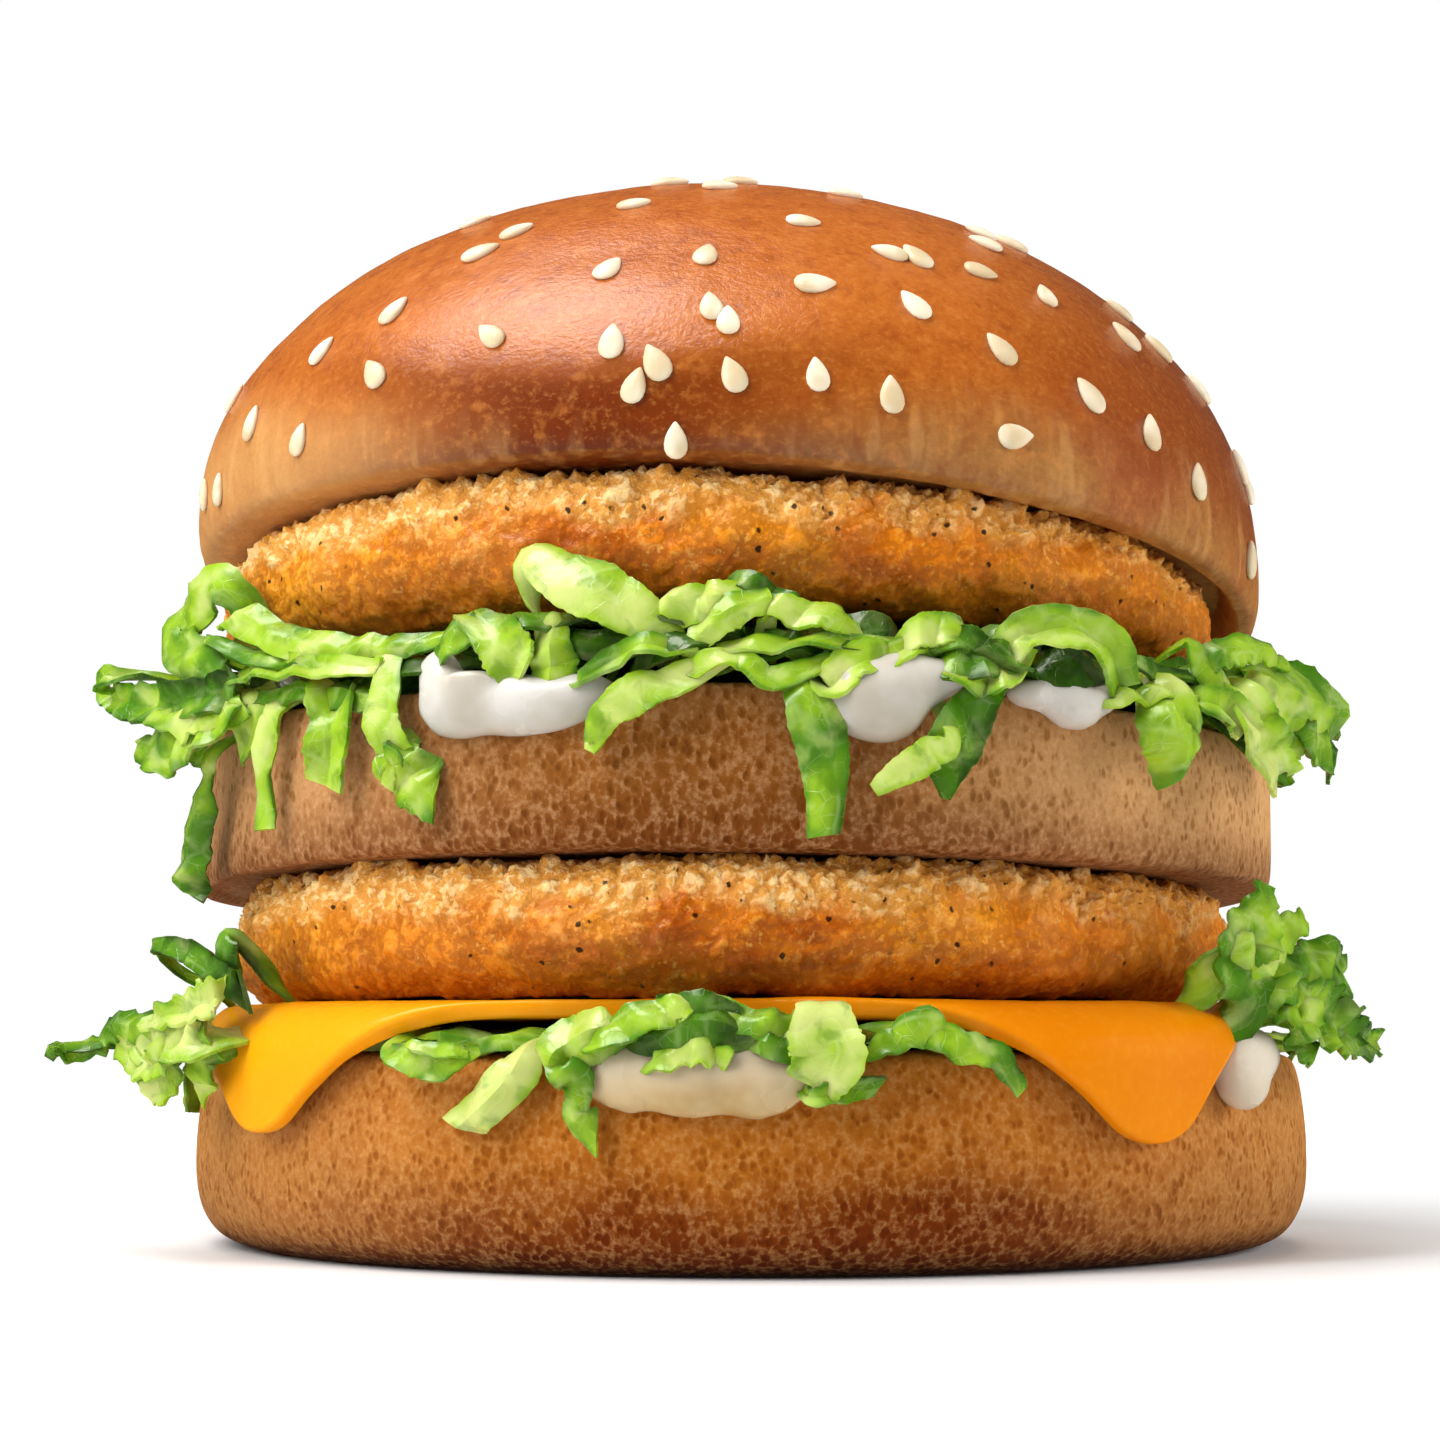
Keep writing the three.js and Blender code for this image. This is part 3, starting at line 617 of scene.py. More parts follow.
def through(stops, share):
    """Places on a smooth curve through the stops, for shares from 0 to 1 of its way"""
    stops = np.array([2 * stops[0] - stops[1], *stops, 2 * stops[-1] - stops[-2]])
    span = np.clip(share, 0, 0.99999) * (len(stops) - 3)
    i = span.astype(int)
    t = (span - i)[:, None]
    a, b, c, d = stops[i], stops[i + 1], stops[i + 2], stops[i + 3]
    bend = (2 * a - 5 * b + 4 * c - d) * t ** 2 + (3 * b - a - 3 * c + d) * t ** 3
    return 0.5 * (2 * b + (c - a) * t + bend)


def unit(rows):
    return rows / np.maximum(np.linalg.norm(rows, axis=1), 1e-9)[:, None]


def ripple(s, seed):
    """A restless wave from about -1 to 1 for a distance s in millimetres"""
    fast = 0.6 * np.sin(1.7 * s + 2.3 * seed) + 0.35 * np.sin(3.1 * s + 4.1 * seed)
    return (np.sin(0.9 * s + seed) + fast) / 1.6


def along_list(values, share):
    """A value that changes evenly along a strip, given at even steps or once"""
    values = np.atleast_1d(values).astype(float)
    return np.interp(share, np.linspace(0, 1, len(values)), values)


def shred(tone, width, face, *line, **more):
    """What leaf_strip needs for one strip, in one line"""
    return dict(tone=tone, width=width, face=face, line=line, **more)


def leaf_strip(seed, line, width, face, tone, root=None, curl=None, ruffle=0.2, teeth=0.0, fold=None,
               crease=1.1, turn=0.0, ceiling=None, columns=44, rows=8):
    """One strip of leaf: a grid, carried from its root along a line of (bearing, radius, height).
    Face is the way it looks, in degrees up from straight outwards; 90 lies flat in the heap. Turn
    swings that way round to the front. Curl, ruffle, teeth, fold and crease shape it across and at
    its edges, and what stands above the ceiling is pressed down to it."""
    bpy.ops.mesh.primitive_grid_add(x_subdivisions=columns, y_subdivisions=rows, size=1)
    strip = bpy.context.object
    lead = 0
    if root is not None:
        line = [(line[0][0], ROOT + 3, root), *line]
        lead = 1 / (len(line) - 1)
    stops = [np.array(polar(*stop)) for stop in line]
    length = sum(np.linalg.norm(b - a) for a, b in zip(stops, stops[1:]))
    luck = int(seed * 100)
    if fold is None:
        fold = 0.7 * draw(luck, 12) ** 2 * (1 if draw(luck, 14) < 0.7 else -1)
    if curl is None:
        curl = 0.12 * (draw(luck, 15) - 0.5)
    kept = {}

    def carry(x, y, z):
        u = np.clip(x * MM + 0.5, 0, 1)
        v = 2 * y * MM
        point = through(stops, u)
        forward = unit(through(stops, u + 0.01) - through(stops, u - 0.01))
        outward = unit(unit(point * (1, 1, 0)) - (0, turn, 0))
        shown = np.clip((u - lead) / (1 - lead), 0, 1)
        hidden = np.clip(1 - u / (lead + 1e-6), 0, 1)
        tilt = along_list(face, shown) + (85 - np.atleast_1d(face)[0]) * hidden
        tilt = np.radians(tilt)[:, None]
        looks = outward * np.cos(tilt) + np.array((0, 0, 1)) * np.sin(tilt)
        across = unit(np.cross(looks, forward))
        facing = np.cross(forward, across)
        s = u * length
        half = along_list(width, shown) / 2
        half = half * (1 + 0.07 * ripple(0.5 * s + 3 * np.sign(v), seed))
        half = half + teeth * np.abs((s / 2.6 + 0.37 * seed + 0.4 * (v > 0)) % 1 - 0.5) * 2
        half = half * (1 + 0.05 * np.sin(9 * s + 5 * seed) * np.sin(4.3 * s + 3 * np.sign(v)))
        swell = curl * 2 * half * (1 - v * v) - fold * half * np.abs(v)
        wave = ruffle * np.abs(v) ** 1.5 * ripple(0.75 * s + 2 * np.sign(v), 1.7 * seed + 1)
        wave = wave + 0.15 * ripple(0.5 * s + 0.8 * v * half, seed + 5)
        slant = 0.16 if draw(luck, 17) < 0.5 else -0.16
        bend_at = s / (4.2 + 2.5 * draw(luck, 16)) + slant * v * half + 0.31 * seed
        wave = wave + crease * (np.abs(bend_at % 1 - 0.5) - 0.25) * (1 + 0.8 * np.sin(2.1 * bend_at + seed))
        kept["along"] = s + 40 * draw(luck, 9)
        kept["across"] = v * half
        kept["edge"] = np.abs(v)
        kept["tone"] = tone + 0.35 * (u - 0.5) * (1 if draw(luck, 11) < 0.6 else -1) + 0.12 * v
        spot = point + across * (v * half)[:, None] + facing * (swell + wave)[:, None]
        cut_end = (draw(luck, 13) - 0.5) * np.clip((u - 0.8) / 0.2, 0, 1)
        spot = spot + forward * (2 * cut_end * v * half)[:, None]
        if ceiling is not None:
            spot[:, 2] -= 0.85 * np.maximum(0, spot[:, 2] - ceiling)
        return spot.T

    reshape(strip, carry)
    note(strip, **kept)
    return strip


def drawn_strips(count, start, end, height, seed_base):
    """Strips round the sides and the back, by a rule: some run round, some stand out or hang"""
    strips = []
    for i in range(count):
        n = seed_base + i
        angle = start + (end - start) * (i + 0.25 + 0.5 * draw(n, 1)) / count
        way = -1 if draw(n, 2) < 0.5 else 1
        hang = 2 + 9 * draw(n, 3) ** 2
        out = 52 + 2 * draw(n, 4)
        running = draw(n, 5) < 0.45
        stretch = way * (9 + 5 * draw(n, 6) if running else 2 + 3 * draw(n, 6))
        line = [
            (angle, out - 5, height + 0.4), (angle + 0.4 * stretch, out - 0.8, height + 0.6 * draw(n, 8)),
            (angle + 0.75 * stretch, out, height - 0.45 * hang), (angle + stretch, out, height - hang),
        ]
        face = (60, 30, 10) if running else (80, 20, 0)
        strips.append(shred(draw(n, 10), 2.6 + 2.6 * draw(n, 7), face, *line, root=height))
    return strips


def filler_strips(count, low, high, seed_base, reach=48.5):
    """Short strips that lie in the layer, all the way round, so that it shows leaf on leaf"""
    strips = []
    for i in range(count):
        n = seed_base + i
        angle = 360 * (i + draw(n, 1)) / count
        stretch = (1 if draw(n, 2) < 0.5 else -1) * (8 + 14 * draw(n, 3))
        out = reach + 3.4 * draw(n, 4) + 1.2 * math.cos(math.radians(4 * angle - 28))
        near = polar(angle, out, 0)
        top = high(near.x, near.y) - 0.5
        bottom = low(near.x, near.y) + 0.6
        z = bottom + (top - bottom) * draw(n, 5)
        z_end = bottom + (top - bottom) * draw(n, 6)
        line = [
            (angle, 41, z), (angle + 0.35 * stretch, out, z),
            (angle + 0.7 * stretch, out + 0.6, (z + z_end) / 2), (angle + stretch, 43, z_end),
        ]
        width = min(2.4 + 2.4 * draw(n, 7), 1.1 * (top - bottom) + 1)
        face = (80, 70 * draw(n, 8), 60 * draw(n, 14))
        # painted shade: fillers at the front, seen in the gaps between the strips, are toned darker than
        # those at the sides and back
        tone = 0.8 * draw(n, 10) + (0.8 if math.cos(math.radians(angle)) > 0.5 else 0.1)
        strips.append(shred(tone, width, face, *line, ceiling=top - 0.3, columns=24, rows=6))
    return strips


def heap(name, low, high, strips, phase, tone):
    """A flat core of lettuce with its strips, each with the thickness of a leaf. The core's tone paints it
    dark, as shade between the strips.
    """
    core = raise_rings("core", 96, [
        (HEAP_RADIUS - 3, 0), (HEAP_RADIUS - 1.4, 0.15), (HEAP_RADIUS - 1, 0.5),
        (HEAP_RADIUS - 1.4, 0.85), (HEAP_RADIUS - 3, 1),
    ], 2, below=INNER_RINGS, above=INNER_RINGS)

    def tuft(x, y, z):
        angle = bearing(x, y)
        reach = np.maximum(np.hypot(x, y), 1)
        tufts = HEAP_RAGGED * np.sin(5 * angle + phase) * np.sin(3 * angle + 2 * phase)
        scale = 1 + (tufts + 0.9 * ripple(40 * angle, phase)) * np.clip(reach - 30, 0, 1) / reach
        x, y = x * scale, y * scale
        bottom = low(x, y)
        return x, y, bottom + z * (high(x, y) - bottom)

    reshape(core, tuft)
    x, y, z = points_of(core)
    note(core, along=bearing(x, y) * 46, across=z, edge=z * 0 + 0.5, tone=z * 0 + tone)
    leaves = [leaf_strip(phase * 10 + 1.37 * i, **strip) for i, strip in enumerate(strips)]
    for leaf in leaves:
        modify(leaf, "SOLIDIFY", thickness=LEAF_THICK * MM, offset=0)
    return join([core, *leaves], name)


def paint_leaf(place):
    """Green that deepens with the strip's tone, in patches and towards the edge, under pale blots,
    dark blots and fine veins that fade on the deepest leaves"""
    along = read(place, "along")
    across = read(place, "across")
    edge = read(place, "edge")
    tone = read(place, "tone")
    patches = mottle(place, 5, 2)
    deep = plus(times(tone, 0.8), times(plus(patches, -0.42), 1.6))
    deep = plus(deep, times(maths("POWER", edge, 4), 0.3))
    colour = tint(between(deep, -0.1, 0.4), "CCD87C", "98BC26")
    colour = wash(colour, "4E8212", deep, 0.35, 0.85)
    colour = wash(colour, "264608", deep, 0.75, 1.25)
    # painted shade: the deepest tones, the upper core's and the darkest fillers', go near black
    colour = wash(colour, "122404", tone, 1.5, 1.9)
    fade = between(deep, 1.3, 0.5, 0.2, 1)
    flat = chain("ShaderNodeCombineXYZ", {0: times(along, MM), 1: times(across, MM)})
    flat = adrift(flat, 4, 0.9)
    blots = mottle(stretched(flat, (0.6, 1, 1)), 3, 3, 0.55)
    colour = tint(times(fade, between(blots, 0.5, 0.66, 0, 0.42)), colour, "D6E288")
    colour = wash(colour, "3E7400", blots, 0.48, 0.34, 0.5)
    veins = cells(stretched(flat, (0.55, 1, 1)), 3.2, "DISTANCE_TO_EDGE")
    veins = maths("MINIMUM", veins, times(cells(flat, 1.3, "DISTANCE_TO_EDGE"), 2))
    veins = times(between(veins, 0.08, 0.01), between(mottle(flat, 3, 2), 0.36, 0.6))
    colour = tint(times(times(veins, fade), 0.18), colour, "DCE8A8")
    height = plus(times(mottle(place, 1.6, 2), 0.08), times(veins, 0.02))
    return colour, between(patches, 0.3, 0.7, 0.2, 0.3), height


LEAF_GLOW = {
    "Subsurface_Weight": 0.35, "Subsurface_Scale": 0.001, "Subsurface_Radius": (0.6, 1, 0.1),
    "Specular_IOR_Level": 0.7, "Specular_Tint": (0.95, 1, 0.8, 1),
}
LOWER_SHREDS = [
    shred(0.9, (1, 2, 2.2, 2.6), (20, 10), (-65, 57, 26), (-57.4, 57, 25.9), (-52.8, 56, 23.7),
          (-50.6, 54.5, 22.3)),
    shred(0.95, (1.6, 3, 2), (0, 0), (-52.6, 54.5, 26.7), (-53, 55.5, 24), (-55.7, 56.4, 21.7)),
    shred(-0.1, (1, 2, 3, 2.4), (30, 10), (-60.8, 58, 19.6), (-56.1, 58, 20.5), (-53, 57, 21.3),
          (-51.9, 56, 21.8), teeth=0.5, ruffle=0.4),
    shred(0.75, (0.8, 1.4, 2, 2.2, 2.4), (20, 10), (-71.1, 64.4, 17.9), (-71.5, 61.4, 17.9),
          (-69.2, 60, 19.7), (-61.4, 58.5, 19.4), (-52.3, 57, 18.7), teeth=0.6, ruffle=0.5),
    shred(-0.05, (3, 4, 3.4, 1.6), (30, 0), (-52.8, 57, 18.2), (-57.2, 58, 17.5), (-62.1, 58.4, 16.9),
          (-69.8, 59, 17.7), teeth=0.5, ruffle=0.4),
    shred(0.5, (1.4, 2.2, 1), (0, 0), (-62.9, 58, 17.5), (-63.9, 58.4, 16.2),
          (-65.9, 58.4, 14.8), teeth=0.4),
    shred(0.05, (2.4, 4, 3.4, 1.6), (0, 0), (-57.4, 57.4, 17.7), (-58.5, 57.8, 16), (-59.9, 58, 14.8),
          (-62.7, 57.8, 13.6), teeth=0.5),
    shred(0.05, (2, 3.2, 2.4), (0, 0), (-53.5, 56.4, 17.5), (-54.9, 56.8, 15.9),
          (-56.1, 56.6, 14.2), teeth=0.5),
    shred(0.3, (1.2, 2.8, 3, 0.8), (20, 0), (-32.4, 54, 17.6), (-29.5, 54.4, 16.8), (-26.8, 54.4, 16.5),
          (-23.5, 53.6, 17.5)),
    shred(0.6, (0.8, 1.4, 1), (30, 20), (-29.6, 54.6, 18.1), (-26.5, 54.8, 17.5), (-24.3, 54.4, 17.3)),
    shred(0.6, (1.4, 2.4, 2.2, 1.2), (50, 30), (-34, 50.2, 18.4), (-27, 50.8, 18.5), (-20, 51, 18.5),
          (-12, 50.4, 18.6)),
    shred(0.5, (1.4, 2.2, 1.4), (50, 30), (6, 50.6, 18.5), (12, 51, 18.5), (19, 50.4, 18.6)),
    shred(-0.25, (2.6, 3.4, 3.4, 3), (50, 0, 0), (-19.4, 52.6, 17.6), (-20.1, 54.4, 15.8),
          (-22.6, 54.4, 13.3), (-25.4, 53.8, 11.5), curl=0.05),
    shred(0.15, (2.8, 4.6, 4, 2.4), (30, 10, 0), (-10.9, 53.6, 19.6), (-13.7, 54.8, 18.7), (-16.1, 55, 17.4),
          (-16.8, 55, 15.8)),
    shred(0.55, (2.4, 3, 2, 1.8, 2.8), (0, 0), (-15.7, 55.2, 16.5), (-14.5, 55.2, 15.2), (-14.3, 55, 13.8),
          (-14.5, 54.8, 12.5), (-12.9, 54.4, 11.1)),
    shred(0.35, (2, 2.8, 2.6, 1.2), (40, 20), (-13.5, 54.4, 17.9), (-10.3, 55.4, 19.5), (-6.6, 55.8, 20.6),
          (-4.6, 54, 21.2)),
    shred(0.85, (2, 3.8, 4.2, 2.2), (30, 20), (-9.5, 54, 18.2), (-6, 55.4, 19.5), (-3.3, 55.4, 19.5),
          (-0.4, 54, 18.6), fold=0.6),
    shred(0.1, (0.8, 1.8, 1.2), (20, 0), (-8.5, 54.8, 16.5), (-5.2, 55.6, 17.3),
          (-2.1, 55, 16.8), teeth=0.4, ruffle=0.4),
    shred(0.45, (1.6, 2.6, 2.6, 1.6), (40, 20), (-5.5, 53, 21.7), (-2.2, 54.4, 20.3), (1, 55, 19.5),
          (3.9, 54.2, 19.5), fold=0.5),
    shred(0.95, (2, 3.4, 2), (10, 0), (-7.8, 54, 20.5), (-4.5, 54.4, 20.3), (-1.4, 54, 19.7)),
    shred(0.7, (1.6, 2.4, 1.6), (10, 10), (0.2, 55, 18.2), (2.6, 55.2, 17.6), (4.6, 54.6, 18.9)),
    shred(-0.3, (3.6, 5.4, 5.6, 4.4), (30, 15, 0), (5.2, 54, 20.6), (5.2, 55.6, 18.6), (5.3, 55.8, 16.7),
          (4.3, 55, 14.8), curl=0.05, crease=0.2),
    shred(0.6, (1, 2.2, 1.4), (-10, 0), (3.8, 54.8, 14.2), (6.5, 55, 14.5), (9.7, 54.4, 14.7)),
    shred(0.55, (0.8, 2, 2.8, 2.2, 2, 0.8), (20, 10), (8.6, 53.6, 17.3), (10.9, 55, 18.2),
          (13.3, 55.6, 19.1), (16.1, 55.6, 17.7), (19.3, 55.2, 17), (22, 54.4, 14.3), teeth=0.3, ruffle=0.4),
    shred(0.7, (4, 5.6, 5, 3, 1.4), (0, 0), (47.4, 54, 20.8), (47.1, 55, 23.8), (47.2, 55.6, 26.4),
          (48.2, 56, 28.8), (49, 56, 31.1), teeth=0.8, ruffle=0.6),
    shred(0.35, (3, 4, 3, 1), (0, 10), (46, 54.4, 24.8), (48.5, 55.4, 25.8), (51.6, 56, 27.1),
          (54.7, 56.4, 28.4), teeth=0.6, ruffle=0.5),
    shred(0.6, (2.6, 4, 3.4, 2.4), (20, 0), (49.7, 55, 22.4), (54, 56.4, 23.7), (58.5, 57, 25.3),
          (62.6, 57.4, 24.5), teeth=0.5, ruffle=0.4),
    shred(0.5, (2.4, 4.4, 4.6, 3, 1), (10, 0), (50.7, 55, 21.6), (53.8, 56.4, 20.8), (58, 57, 20),
          (62.8, 57.6, 18.7), (73.6, 58.2, 18.3), teeth=0.8, ruffle=0.5),
    shred(0.65, (3, 3.4, 2.4), (0, 0), (60.5, 57, 23.9), (59.1, 57.4, 21.7),
          (63.4, 57.6, 17.9), teeth=0.7, ruffle=0.4),
    shred(0.4, (2.4, 3.4, 1.6), (0, 0), (53.5, 56.2, 20.8), (54.5, 56.6, 18.8),
          (55.6, 56.6, 16.9), teeth=0.7),
]
lower_strips = [
    *[dict(strip, root=LOW, turn=0.8) for strip in LOWER_SHREDS],
    *drawn_strips(16, 86, 270, LOW, 80),
    *filler_strips(44, bottom_bun_top, level(19.6, 0, 0), 300, 47.6),
]
# the core's tone of 1.2 paints it dark green, as shade under the strips
lower_lettuce = heap(
    "lower_lettuce_leaves", raised(bottom_bun_top, SPREAD_THICK), level(LOWER_HEAP_TOP, 0, 0),
    lower_strips, 0.4, 1.2,
)
leaf_finish = finish("lettuce_leaf", paint_leaf, **LEAF_GLOW)
dress(lower_lettuce, leaf_finish, "lettuce", "lower_lettuce")
bpy.ops.object.shade_smooth_by_angle(angle=math.radians(45))

# ------------------------------
# Cheese: one square slice of soft processed cheese with rounded corners. Warm from the patty,
# it droops, and its four corners fold down over the bottom bun.
# ------------------------------

CHEESE_SIDE = 88
CHEESE_CORNER = 7
CHEESE_THICK = 1.7
CHEESE_TURN = math.radians(7)
CHEESE_FORWARD = 3.5
CHEESE_LIP = 49.2
CHEESE_BEND = 4.2
CHEESE_CELLS = 96
CHEESE_EDGE = 0.45
GAP = 0.3
LOWER_PATTY_BASE = 21.8


def droop(x, y, z):
    """Rounds the corners, turns the slice, and folds it down over a round lip"""
    half = CHEESE_SIDE / 2
    inner = half - CHEESE_CORNER
    past_x = np.abs(x) - inner
    past_y = np.abs(y) - inner
    at_corner = (past_x > 0) & (past_y > 0)
    scale = np.maximum(past_x, past_y) / np.maximum(np.hypot(past_x, past_y), 1e-6)
    x = np.where(at_corner, np.sign(x) * (inner + past_x * scale), x)
    y = np.where(at_corner, np.sign(y) * (inner + past_y * scale), y)
    turned_x = x * math.cos(CHEESE_TURN) + y * math.sin(CHEESE_TURN)
    turned_y = y * math.cos(CHEESE_TURN) - x * math.sin(CHEESE_TURN) - CHEESE_FORWARD
    reach = np.maximum(np.hypot(turned_x, turned_y), 1e-6)
    past = np.maximum(reach - CHEESE_LIP, 0)
    angle = np.minimum(past / CHEESE_BEND, math.radians(88))
    rest = past - angle * CHEESE_BEND
    out = CHEESE_LIP + CHEESE_BEND * np.sin(angle) + rest * np.cos(angle)
    out = np.where(past > 0, out, reach)
    down = CHEESE_BEND * (1 - np.cos(angle)) + rest * np.sin(angle)
    height = LOWER_PATTY_BASE - GAP - CHEESE_THICK / 2
    return turned_x / reach * out, turned_y / reach * out, height - down + z


bpy.ops.mesh.primitive_grid_add(
    x_subdivisions=CHEESE_CELLS, y_subdivisions=CHEESE_CELLS, size=CHEESE_SIDE * MM
)
cheese = bpy.context.object
cheese.name = cheese.data.name = "cheese"
reshape(cheese, droop)
modify(cheese, "SOLIDIFY", thickness=CHEESE_THICK * MM, offset=0)
modify(
    cheese, "BEVEL", width=CHEESE_EDGE * MM, segments=3, limit_method="ANGLE", angle_limit=math.radians(50)
)


def cheese_relief(place):
    """Shallow hollows where the soft slice follows what lies under it"""
    return rolling(place, 14, 1)


emboss(cheese, cheese_relief, 0.8)


def paint_cheese(place):
    clouds = mottle(place, 18)
    colour = tint(between(clouds, 0.3, 0.7), "E07C00", "F09002")
    # painted light: the left of the slice, towards the lamps, is lighter
    left = between(axis(place, "X"), 5 * MM, -30 * MM)
    colour = tint(times(left, 0.8), colour, "FFA80C")
    fine = mottle(place, 0.9, 3)
    colour = wash(colour, "FFB83C", fine, 0.45, 0.75, 0.12)
    rough = between(clouds, 0.3, 0.7, 0.2, 0.28)
    return colour, rough, times(fine, 0.03)


cheese_finish = finish(
    "soft_cheese", paint_cheese, Subsurface_Weight=0.2, Subsurface_Scale=0.003,
    Subsurface_Radius=(1, 0.45, 0.02), Specular_IOR_Level=0.5, Specular_Tint=(1, 0.82, 0.5, 1),
)
dress(cheese, cheese_finish, "cheese", "cheese_slice")

# ------------------------------
# Lower patty: minced chicken pressed into a round, coated in batter and crumb and deep fried.
# The crust is golden, craggy along its top edge, painted darker below as shade, and flecked with pepper.
# ------------------------------

PATTY_RADIUS = 46.4
PATTY_FLAT = 38
PATTY_RELIEF = 0.12
PATTY_SIDES = 120
LOWER_PATTY_SHIFT = (-1.8, -2.9)
MIDDLE_BUN_BASE = level(32.2, -0.008, -0.015)


def crag(x, y, z):
    """Crags along a fried side, from about -1.7 to 1.7"""
    coarse = np.sin(0.55 * x + 1.7 * np.sin(0.21 * y)) * np.sin(0.6 * y + 0.5 * z)
    return coarse + 0.7 * np.sin(1.31 * x - 0.9 * z) * np.sin(1.13 * y + 0.7 * z + 1.2)


def fried_round(name, base, top, shift, phase):
    """A breaded round between two faces; its note, share, says how high up its side a point is"""
    piece = raise_rings(name, PATTY_SIDES, [
        (PATTY_RADIUS - 3.4, 0), (PATTY_RADIUS - 1.1, 0.13), (PATTY_RADIUS - 0.1, 0.34),
        (PATTY_RADIUS, 0.56), (PATTY_RADIUS - 0.6, 0.76), (PATTY_RADIUS - 1.8, 0.93),
        (PATTY_RADIUS - 4, 1), (PATTY_RADIUS - 7, 1),
    ], FINE, below=(36, 20), above=(36, 20))
    note(piece, share=points_of(piece)[2])

    def press(x, y, share):
        reach = np.maximum(np.hypot(x, y), 1e-6)
        x, y = wobble(x, y, 0.006, phase)
        bump = PATTY_RELIEF * crag(x, y, 16 * share + 5 * phase) * np.clip((reach - PATTY_FLAT) / 6, 0, 1)
        x = x + x / reach * bump + shift[0]
        y = y + y / reach * bump + shift[1]
        low = base(x, y)
        return x, y, low + share * (top(x, y) - low) + 0.6 * bump * np.sin(np.pi * share)

    reshape(piece, press)
    return piece


def crumb_mask(place):
    """1 where loose crumb clings to the batter: along the top edge and in ragged patches"""
    patches = between(mottle(place, 7, 4, 0.6), 0.5, 0.6)
    patches = times(patches, between(read(place, "share"), 0.2, 0.55))
    top = plus(read(place, "share"), times(mottle(place, 5, 3), 0.7))
    return maths("MAXIMUM", times(patches, 0.22), between(top, 0.92, 1.1))


def crumb_flakes(place):
    """Ragged crumbs: folds of noise with sharp valleys between, 1 on the crumbs"""
    coarse = maths("ABSOLUTE", plus(times(mottle(place, 2.4, 3, 0.6), 2), -1))
    close = maths("ABSOLUTE", plus(times(mottle(place, 0.9, 3, 0.6), 2), -1))
    return plus(between(coarse, 0.0, 0.35, 0, 0.6), between(close, 0.0, 0.3, 0, 0.4))


def crust(place):
    """Relief of the crust in millimetres: slow lumps, crags and clinging crumbs"""
    lumps = rolling(place, 7, 2.4, 1)
    crags = rolling(stretched(place, (0.7, 0.7, 1.2)), 2.6, 1.1, 4, 0.6)
    mask = crumb_mask(place)
    side = between(read(place, "share"), 0.999, 0.95)
    flakes = times(times(crumb_flakes(place), plus(0.4, times(mask, 0.6))), 1.2)
    clumps = times(times(between(mottle(place, 2.6, 3, 0.6), 0.5, 0.7), mask), 1.2)
    flakes = times(plus(flakes, clumps), side)
    bubbles = times(between(cells(place, 2.2), 0.4, 0.1), 0.12)
    return plus(plus(lumps, crags), plus(flakes, bubbles))


def paint_crust(place):
    share = read(place, "share")
    mask = crumb_mask(place)
    flakes = crumb_flakes(place)
    lumps = mottle(stretched(place, (0.6, 0.6, 1.3)), 4, 4, 0.6)
    colour = tint(between(lumps, 0.3, 0.66), "B85402", "E88404")
    colour = wash(colour, "E67C0A", mottle(place, 10, 2), 0.5, 0.66, 0.35)
    colour = wash(colour, "EA9C10", mottle(place, 13, 2), 0.44, 0.34, 0.5)
    # painted light: the left of the crust, towards the lamps, is lighter
    left = between(axis(place, "X"), -8 * MM, -42 * MM)
    colour = tint(times(left, 0.55), colour, "F6A62A")
    # painted shade in the valleys between the crumbs; the crumb tops are paler, partly their own colour and
    # partly painted light
    colour = wash(colour, "903C02", flakes, 0.5, 0.15, 0.45)
    colour = wash(colour, "F4AC40", flakes, 0.6, 0.92, 0.5)
    crumb = tint(between(flakes, 0.15, 0.7), "E8A244", "FFDA98")
    # painted light and shade on the right: the batter is painted lighter and the crumb darker there
    right = between(axis(place, "X"), 0, 30 * MM)
    colour = tint(times(right, 0.25), colour, "E0902A")
    crumb = tint(times(right, 0.5), crumb, "CC7E26")
    colour = tint(times(mask, 0.85), colour, crumb)
    specks = between(mottle(place, 0.6, 3, 0.6), 0.56, 0.66)
    specks = times(specks, between(mottle(place, 2, 2), 0.42, 0.6))
    colour = tint(times(specks, 0.45), colour, "FFC860")
    # painted shade: the lower part of the side is darker
    low = between(plus(share, times(plus(lumps, -0.5), 0.6)), 0.6, 0.02)
    colour = tint(times(low, 0.55), colour, "702C04")
    pepper = between(cells(adrift(place, 0.6, 0.25), 1.9), 0.15, 0.1)
    pepper = times(pepper, between(mottle(place, 2.7, 1), 0.43, 0.5))
    colour = tint(times(pepper, 0.92), colour, "160803")
    fine = grain(place)
    height = plus(times(fine, 0.1), times(times(flakes, plus(mask, 0.5)), 0.1))
    return colour, between(lumps, 0.3, 0.7, 0.24, 0.42), height


CRUST_GLOW = {
    "Subsurface_Weight": 0.15, "Subsurface_Scale": 0.002, "Subsurface_Radius": (1, 0.45, 0.08),
    "Specular_IOR_Level": 0.6, "Specular_Tint": (1, 0.84, 0.6, 1),
}
lower_patty = fried_round(
    "lower_patty_crust", level(LOWER_PATTY_BASE, 0, 0), raised(MIDDLE_BUN_BASE, -GAP),
    LOWER_PATTY_SHIFT, 1.1,
)
emboss(lower_patty, crust, 0.7)
fried_crust = finish("fried_crust", paint_crust, **CRUST_GLOW)
dress(lower_patty, fried_crust, "breading", "lower_patty")

# ------------------------------
# Middle bun: a slice of the same bread between the two patties, cut flat on both sides and
# tipped a little forward. Its browned side shows tall pores, stretched by the rising dough.
# ------------------------------

